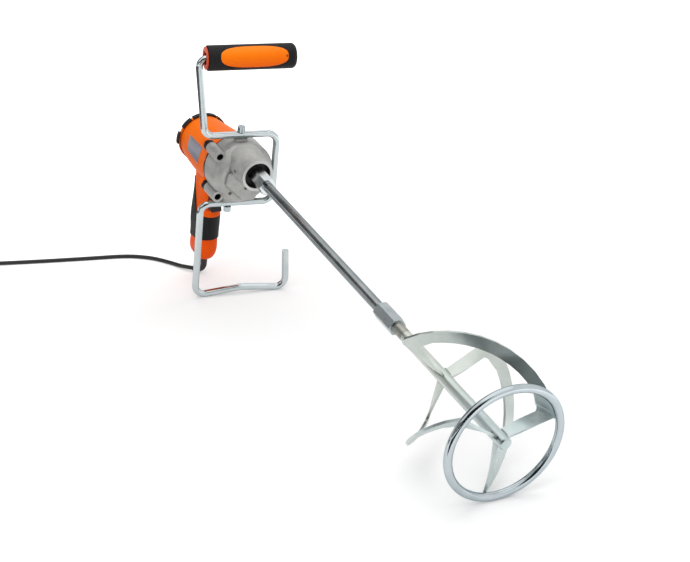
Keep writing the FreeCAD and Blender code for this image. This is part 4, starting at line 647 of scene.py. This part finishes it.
bpy.ops.mesh.select_mode(type="EDGE")
bpy.ops.mesh.select_non_manifold()
bpy.ops.mesh.fill_holes(sides=4)
bpy.ops.mesh.select_all(action="SELECT")
bpy.ops.mesh.normals_make_consistent(inside=False)
bpy.ops.object.mode_set(mode="OBJECT")
studThread.rotation_euler = (math.radians(stance["tilt"] - 90), 0, 0)
studThread.location = onTool(0, thread["start"], 0)
threadFinish = makeFinish(
    "cutThread", (0.34, 0.335, 0.29), (0.45, 0.44, 0.385), (0.7, 0.69, 0.64), (0.22, 0.34), metal=1.0,
    grain=1600.0, bump=0.06, wear=0.0004)
settle(studThread, "studThread", "spindle_line", threadFinish)
print("stud thread cut:", thread["turns"], "turns")

# weld beads: one rippled bead, copied along both sides of each strip's foot on the rod, and onto the ring;
# root to turn say how the strips wind (mm, degrees), arm and spoke where on that way the beads are
weld = {
    "long": 12.5, "wide": 2.3, "root": -476.0, "high": 128.55, "rise": 9.0, "topRadius": 70.0, "turn": -124.0,
    "starts": (137.0, 24.0, -92.0), "rod": 7.2, "outStep": 1.0, "half": 1.5, "arm": 0.035, "spoke": 0.955,
    "step": 0.004, "lift": 0.25, "proud": 0.35, "ringRadius": 64.6, "ringLong": 6.0, "ringWide": 2.6,
    "ringSink": 0.6, "smooth": 60.0,
}
ripple = {"count": 6, "from": -0.42, "over": 0.84, "wide": 0.07, "waist": 0.86, "segments": 12, "rings": 26}


def bladePoint(radius, along, angle):
    turned = math.radians(angle + weld["turn"] * along)
    y = weld["root"] - weld["high"] * along + weld["rise"] * (1 - along) * radius / weld["topRadius"]
    return Vector((radius * math.cos(turned), y, radius * math.sin(turned)))


def makeBead():
    freshStart()
    bpy.ops.mesh.primitive_uv_sphere_add(segments=ripple["segments"], ring_count=ripple["rings"], radius=0.5)
    bead = bpy.context.object
    bpy.ops.object.mode_set(mode="EDIT")
    for k in range(ripple["count"]):
        low = ripple["from"] + ripple["over"] * k / ripple["count"]
        pick(bead, "VERT", lambda c: low < c.z < low + ripple["wide"])
        bpy.ops.transform.resize(value=(ripple["waist"], ripple["waist"], 1.0), center_override=(0, 0, 0))
    bpy.ops.object.mode_set(mode="OBJECT")
    return bead


def layBead(pattern, name, at, along, long, wide):
    bead = copyOf(pattern)
    bead.rotation_mode = "QUATERNION"
    bead.rotation_quaternion = along.to_track_quat("Z", "Y")
    bead.location = at
    bead.scale = (wide / 1000, wide / 1000, long / 1000)
    settle(bead, name, "spindle_line", weldFinish, weld["smooth"])
    bead.rotation_mode = "XYZ"


weldFinish = makeFinish(
    "weldBead", (0.30, 0.315, 0.30), (0.42, 0.435, 0.41), (0.6, 0.6, 0.57), (0.34, 0.5), metal=0.95,
    grain=2200.0, drift=160.0, bump=0.3)
beadPattern = makeBead()
for number, start in enumerate(weld["starts"], start=1):
    for spotName, share in (("arm", weld["arm"]), ("spoke", weld["spoke"])):
        middle = bladePoint(weld["rod"], share, start)
        below = bladePoint(weld["rod"], share + weld["step"], start)
        down = (below - bladePoint(weld["rod"], share - weld["step"], start)).normalized()
        across = (bladePoint(weld["rod"] + weld["outStep"], share, start) - middle).normalized()
        face = across.cross(down).normalized()
        for sideName, sign in (("A", 1.0), ("B", -1.0)):
            at = middle + across * weld["lift"] + face * (sign * (weld["half"] + weld["proud"]))
            layBead(beadPattern, "weld_%s_%d%s" % (spotName, number, sideName), onTool(*at), toolTurn @ down,
                    weld["long"], weld["wide"])
    foot = bladePoint(weld["ringRadius"], 1.0, start)
    level = math.radians(start + weld["turn"])
    layBead(beadPattern, "weld_ring_%d" % number, onTool(foot.x, foot.y - weld["ringSink"], foot.z),
            toolTurn @ Vector((math.cos(level), 0, math.sin(level))), weld["ringLong"], weld["ringWide"])
bpy.data.objects.remove(beadPattern)
print("weld beads laid on", len(weld["starts"]), "strips")

# auxiliary grip: where its middle is on the drill, how far it is swung and the former for its inlays (mm,
# degrees)
grip = {"middle": (0.0, 58.0, 138.5), "swing": -10.0, "start": -51.0, "round": 16.4, "sides": 256,
        "long": 200.0, "standOff": 30.0}
gripTurn = Matrix.Rotation(math.radians(grip["swing"]), 3, "Z")
gripAlong = toolTurn @ gripTurn @ Vector((1, 0, 0))
gripFront = toolTurn @ gripTurn @ Vector((0, -1, 0))
gripUp = toolTurn @ Vector((0, 0, 1))
freshStart()
bpy.ops.mesh.primitive_cylinder_add(vertices=grip["sides"], radius=grip["round"] / 1000,
                                    depth=grip["long"] / 1000, location=onTool(*grip["middle"]),
                                    rotation=gripAlong.to_track_quat("Z", "Y").to_euler())
gripFormer = bpy.context.object  # taken away when the sheets have been pressed on it


# a sheet, oval when seen square to the grip, that is pressed on to its round face and given a wall; a round
# one has its corners cut as a square and is then drawn out, the other is drawn out first, so that its ends
# are half circles; corner and merge are shares of the half height that the sheet has when it is cut
def pressOval(spec, side, name):
    lean = math.radians(spec["lean"])
    out = (gripFront * math.cos(lean) + gripUp * math.sin(lean)) * side
    facing = Matrix((gripAlong, out.cross(gripAlong), out)).transposed()
    freshStart()
    bpy.ops.mesh.primitive_plane_add(size=2.0)
    sheet = bpy.context.object
    half = (spec["halfLong"] / 1000, spec["halfHigh"] / 1000, 1.0)
    cutHalf = 1.0 if spec["round"] else half[1]
    if spec["round"]:
        sheet.scale = half
    bpy.ops.object.mode_set(mode="EDIT")
    bpy.ops.mesh.select_mode(type="VERT")
    bpy.ops.mesh.select_all(action="SELECT")
    if not spec["round"]:
        bpy.ops.transform.resize(value=half, center_override=(0, 0, 0))
    bpy.ops.mesh.bevel(offset=spec["corner"] * cutHalf, segments=spec["cornerSegments"],
                       profile=spec["profile"], affect="VERTICES", clamp_overlap=True)
    bpy.ops.mesh.remove_doubles(threshold=spec["merge"] * cutHalf)
    bpy.ops.mesh.select_mode(type="FACE")
    bpy.ops.mesh.select_all(action="SELECT")
    bpy.ops.mesh.delete(type="ONLY_FACE")
    bpy.ops.mesh.select_mode(type="EDGE")
    bpy.ops.mesh.select_all(action="SELECT")
    for left in range(spec["rings"], 1, -1):
        inwards = (left - 1) / left
        bpy.ops.mesh.extrude_edges_move()
        bpy.ops.transform.resize(value=(inwards, inwards, 1.0), center_override=(0, 0, 0))
    bpy.ops.mesh.edge_face_add()
    bpy.ops.mesh.select_all(action="SELECT")
    bpy.ops.mesh.normals_make_consistent(inside=False)
    if bmesh.from_edit_mesh(sheet.data).faces[0].normal.z < 0:
        bpy.ops.mesh.flip_normals()
    bpy.ops.object.mode_set(mode="OBJECT")
    bpy.ops.object.transform_apply(location=False, rotation=False, scale=True)
    sheet.rotation_euler = facing.to_euler()
    sheet.location = (onTool(*grip["middle"]) + gripAlong * (spec["middle"] / 1000)
                      + out * (grip["standOff"] / 1000))
    layOn(sheet, gripFormer, "Z", False, spec["rise"])
    giveWall(sheet, spec["thick"], -1.0)
    softenEdges(sheet, spec)
    settle(sheet, name, "tool", finishes[spec["slot"]])
    return sheet


# orange oval, and the black pad round it that fills the sleeve's recess
oval = {"halfLong": 43.2, "halfHigh": 13.2, "middle": 7.3, "lean": 24.5, "round": True, "corner": 0.999,
        "merge": 0.006, "cornerSegments": 22, "profile": 0.62, "rings": 8, "rise": 0.35, "thick": 1.2,
        "edge": 0.35, "segments": 3, "limit": 55.0, "slot": "orange_inlay"}
surround = {"halfLong": 42.4, "halfHigh": 14.1, "middle": 7.3, "lean": 33.0, "round": False, "corner": 0.999,
            "merge": 0.006, "cornerSegments": 22, "profile": 0.5, "rings": 8, "rise": -0.3, "thick": 1.5,
            "edge": 0.2, "segments": 3, "limit": 55.0, "slot": "black_rubber"}
for endName, nodeName, side in (("Front", "grip_inlay_front", 1), ("Back", "grip_inlay_back", -1)):
    pressOval(surround, side, "inlayPad" + endName)
    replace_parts(pressOval(oval, side, "inlayOval" + endName), nodeName)
bpy.data.objects.remove(gripFormer)
print("grip inlays pressed on: 2")

# flange of the red core, which stands out at the sleeve's left end round the bar
flange = {"outer": 14.3, "inner": 8.8, "wide": 2.0, "sides": 64, "edge": 0.5, "segments": 3, "limit": 60.0}
coreFlange = makeHollowRing(flange)
coreFlange.rotation_euler = gripAlong.to_track_quat("Z", "Y").to_euler()
coreFlange.location = onTool(*grip["middle"]) + gripAlong * ((grip["start"] - flange["wide"] / 2) / 1000)
settle(coreFlange, "coreFlange", "tool", finishes["red_core"])
print("core flange set")

# orange cuff round the rear of the barrel, and the black pads that stand on its upper half
cuff = {"axis": (0.0, 178.4, -30.0), "outer": 34.2, "inner": 33.35, "wide": 5.0, "sides": 96, "edge": 0.4,
        "segments": 2, "limit": 50.0}
rearCuff = makeHollowRing(cuff)
rearCuff.rotation_euler = (math.radians(stance["tilt"] - 90), 0, 0)
rearCuff.location = onTool(*cuff["axis"])
settle(rearCuff, "rearCuff", "tool", finishes["orange_shell"])

pads = {"middle": 34.9, "tall": 2.4, "wide": 6.0, "turn": 27.0, "steps": 12,
        "starts": (174, 212, 243, 274, 305, 336), "grow": (1.025, 1.0, 0.995, 0.985, 0.985, 0.985),
        "edge": 0.7, "segments": 3, "limit": 50.0}
freshStart()
bpy.ops.mesh.primitive_plane_add(size=1.0, rotation=(math.radians(90), 0, 0),
                                 location=(pads["middle"] / 1000, 0, 0))
padPattern = bpy.context.object
padPattern.scale = (pads["tall"] / 1000, pads["wide"] / 1000, 1.0)
bpy.ops.object.transform_apply(location=True, rotation=True, scale=True)
bpy.ops.object.mode_set(mode="EDIT")
bpy.ops.mesh.select_all(action="SELECT")
bpy.ops.mesh.spin(steps=pads["steps"], angle=math.radians(pads["turn"]), center=(0, 0, 0), axis=(0, 0, 1))
bpy.ops.mesh.select_all(action="SELECT")
bpy.ops.mesh.remove_doubles(threshold=touching)
bpy.ops.mesh.normals_make_consistent(inside=False)
bpy.ops.object.mode_set(mode="OBJECT")
softenEdges(padPattern, pads)
begin = min(math.degrees(math.atan2(v.co.y, v.co.x)) for v in padPattern.data.vertices)  # of the spun pad
ontoBarrel = Matrix.Rotation(math.radians(stance["tilt"] - 90), 3, "X")
for number, (start, grow) in enumerate(zip(pads["starts"], pads["grow"]), start=1):
    pad = copyOf(padPattern)
    pad.rotation_euler = (ontoBarrel @ Matrix.Rotation(math.radians(start - begin), 3, "Z")).to_euler()
    pad.scale = (grow, grow, 1.0)
    pad.location = onTool(*cuff["axis"])
    settle(pad, "rearPad_%d" % number, "tool", finishes["black_shell"])
bpy.data.objects.remove(padPattern)
print("rear cuff and pads set:", len(pads["starts"]))

# small screw at the inlay's right end
screw = {"at": (43.2, 207.06, 339.81), "normal": (-0.158, -0.959, 0.234), "radius": 1.3, "tall": 3.0,
         "proud": 0.75, "socket": 0.6, "deep": 0.7, "sides": 30, "edge": 0.2, "segments": 3}
top = screw["proud"] / 1000 - touching
freshStart()
bpy.ops.mesh.primitive_cylinder_add(vertices=screw["sides"], radius=screw["radius"] / 1000,
                                    depth=screw["tall"] / 1000,
                                    location=(0, 0, (screw["proud"] - screw["tall"] / 2) / 1000))
inlayScrew = bpy.context.object
bpy.ops.object.transform_apply(location=True, rotation=True, scale=True)
bpy.ops.object.mode_set(mode="EDIT")
pick(inlayScrew, "FACE", lambda c: c.z > top)
bpy.ops.mesh.inset(thickness=(screw["radius"] - screw["socket"]) / 1000)
bpy.ops.mesh.extrude_region_move(TRANSFORM_OT_translate={"value": (0, 0, -screw["deep"] / 1000)})
pick(inlayScrew, "EDGE", lambda c: c.z > top and c.xy.length > (screw["radius"] - screw["edge"]) / 1000)
bpy.ops.mesh.bevel(offset=screw["edge"] / 1000, segments=screw["segments"], affect="EDGES")
bpy.ops.object.mode_set(mode="OBJECT")
inlayScrew.rotation_euler = Vector(screw["normal"]).to_track_quat("Z", "Y").to_euler()
inlayScrew.location = Vector(screw["at"]) / 1000
settle(inlayScrew, "inlayScrew", "tool", finishes["black_screw"])
print("inlay screw set")


# rays that see the studio as it looks; other rays only see how it lights
def addSeen(tree):
    path = tree.nodes.new("ShaderNodeLightPath")
    either = addMath(tree, "MAXIMUM", path.outputs["Is Camera Ray"], path.outputs["Is Glossy Ray"])
    return addMath(tree, "MAXIMUM", either, path.outputs["Is Transmission Ray"])


# white floor that keeps the shadow and glows more the farther it is from its middle, under white air
studio = {"floorSize": 30.0, "floorShade": 0.80, "floorMiddle": (0.0, -0.04, 0.0), "floorLift": 0.205,
          "farLift": 0.9, "near": 0.35, "far": 1.1, "fill": 0.464}
freshStart()
bpy.ops.mesh.primitive_plane_add(size=studio["floorSize"], location=studio["floorMiddle"])
floor = bpy.context.object
floor.name = "floor"
material, tree, out = bareMaterial("whiteFloor")
paper = tree.nodes.new("ShaderNodeBsdfDiffuse")
paper.inputs["Color"].default_value = (studio["floorShade"],) * 3 + (1.0,)
glow = tree.nodes.new("ShaderNodeEmission")
where = tree.nodes.new("ShaderNodeTexCoord")
away = tree.nodes.new("ShaderNodeVectorMath")
away.operation = "LENGTH"
tree.links.new(where.outputs["Object"], away.inputs[0])
lift = addRange(tree, away.outputs["Value"], studio["near"], studio["far"], studio["floorLift"],
                studio["farLift"])
tree.links.new(addMath(tree, "MULTIPLY", addSeen(tree), lift), glow.inputs["Strength"])
both = tree.nodes.new("ShaderNodeAddShader")
tree.links.new(paper.outputs[0], both.inputs[0])
tree.links.new(glow.outputs[0], both.inputs[1])
tree.links.new(both.outputs[0], out.inputs["Surface"])
floor.data.materials.append(material)

world = bpy.data.worlds.new("studioAir")
scene.world = world
world.use_nodes = True
tree = world.node_tree
tree.nodes.clear()
out = tree.nodes.new("ShaderNodeOutputWorld")
air = tree.nodes.new("ShaderNodeBackground")
air.inputs["Color"].default_value = (1.0, 1.0, 1.0, 1.0)
tree.links.new(addRange(tree, addSeen(tree), 0.0, 1.0, studio["fill"], 1.0), air.inputs["Strength"])
tree.links.new(air.outputs[0], out.inputs["Surface"])

# two large softboxes, which show in no reflection
softboxes = [
    {"name": "keySoftbox", "place": (-1.2, -1.6, 2.3), "target": (0, 0, 0.1), "size": (2.4, 2.4),
     "watts": 42.0},
    {"name": "topSoftbox", "place": (0.5, 0.6, 2.5), "target": (0, 0.1, 0.1), "size": (3.0, 3.0),
     "watts": 36.0},
]
for box in softboxes:
    data = bpy.data.lights.new(box["name"], "AREA")
    data.shape = "RECTANGLE"
    data.size, data.size_y = box["size"]
    data.energy = box["watts"]
    lamp = bpy.data.objects.new(box["name"], data)
    lamp.location = box["place"]
    facing = Vector(box["target"]) - Vector(box["place"])
    lamp.rotation_euler = facing.to_track_quat("-Z", "Y").to_euler()
    lamp.visible_glossy = False
    scene.collection.objects.link(lamp)

# flags: sheets that show only in reflections, dark and dim for the metal's bands and a bright one overhead
flags = [
    {"name": "darkRoomFront", "place": (-1.71, -2.47, 1.25), "target": (0, -0.2, 0.15), "size": (3.3, 3.0),
     "shade": 0.02},
    {"name": "dimRoomBack", "place": (-0.9, 2.5, 1.6), "target": (0, 0, 0.15), "size": (3.2, 2.1),
     "shade": 0.14},
    {"name": "dimRoomLeft", "place": (-3.0, 0.3, 0.75), "target": (0, 0.2, 0.2), "size": (3.4, 1.5),
     "shade": 0.25},
    {"name": "dimFloorLeft", "place": (-1.05, 0.85, 0.004), "target": (-1.05, 0.85, 1.0), "size": (1.3, 2.1),
     "shade": 0.12},
    {"name": "dimFloorBack", "place": (-0.55, 1.3, 0.006), "target": (-0.55, 1.3, 1.0), "size": (0.9, 1.2),
     "shade": 0.12},
    {"name": "darkFloorFront", "place": (-0.58, -0.97, 0.004), "target": (-0.58, -0.97, 1.0),
     "size": (0.85, 1.08), "shade": 0.05},
    {"name": "brightCeiling", "place": (0.1, 0.0, 2.6), "target": (0.1, 0.0, 0.0), "size": (2.4, 4.0),
     "shade": 1.4},
]
for sheet in flags:
    freshStart()
    bpy.ops.mesh.primitive_plane_add(size=1.0, location=sheet["place"])
    flag = bpy.context.object
    flag.name = sheet["name"]
    flag.scale = (*sheet["size"], 1.0)
    facing = Vector(sheet["target"]) - Vector(sheet["place"])
    flag.rotation_euler = facing.to_track_quat("Z", "Y").to_euler()
    flag.visible_camera = False
    flag.visible_diffuse = False
    flag.visible_shadow = False
    material, tree, out = bareMaterial(sheet["name"])
    glow = tree.nodes.new("ShaderNodeEmission")
    glow.inputs["Color"].default_value = (sheet["shade"],) * 3 + (1.0,)
    tree.links.new(glow.outputs[0], out.inputs["Surface"])
    flag.data.materials.append(material)
print("studio set")
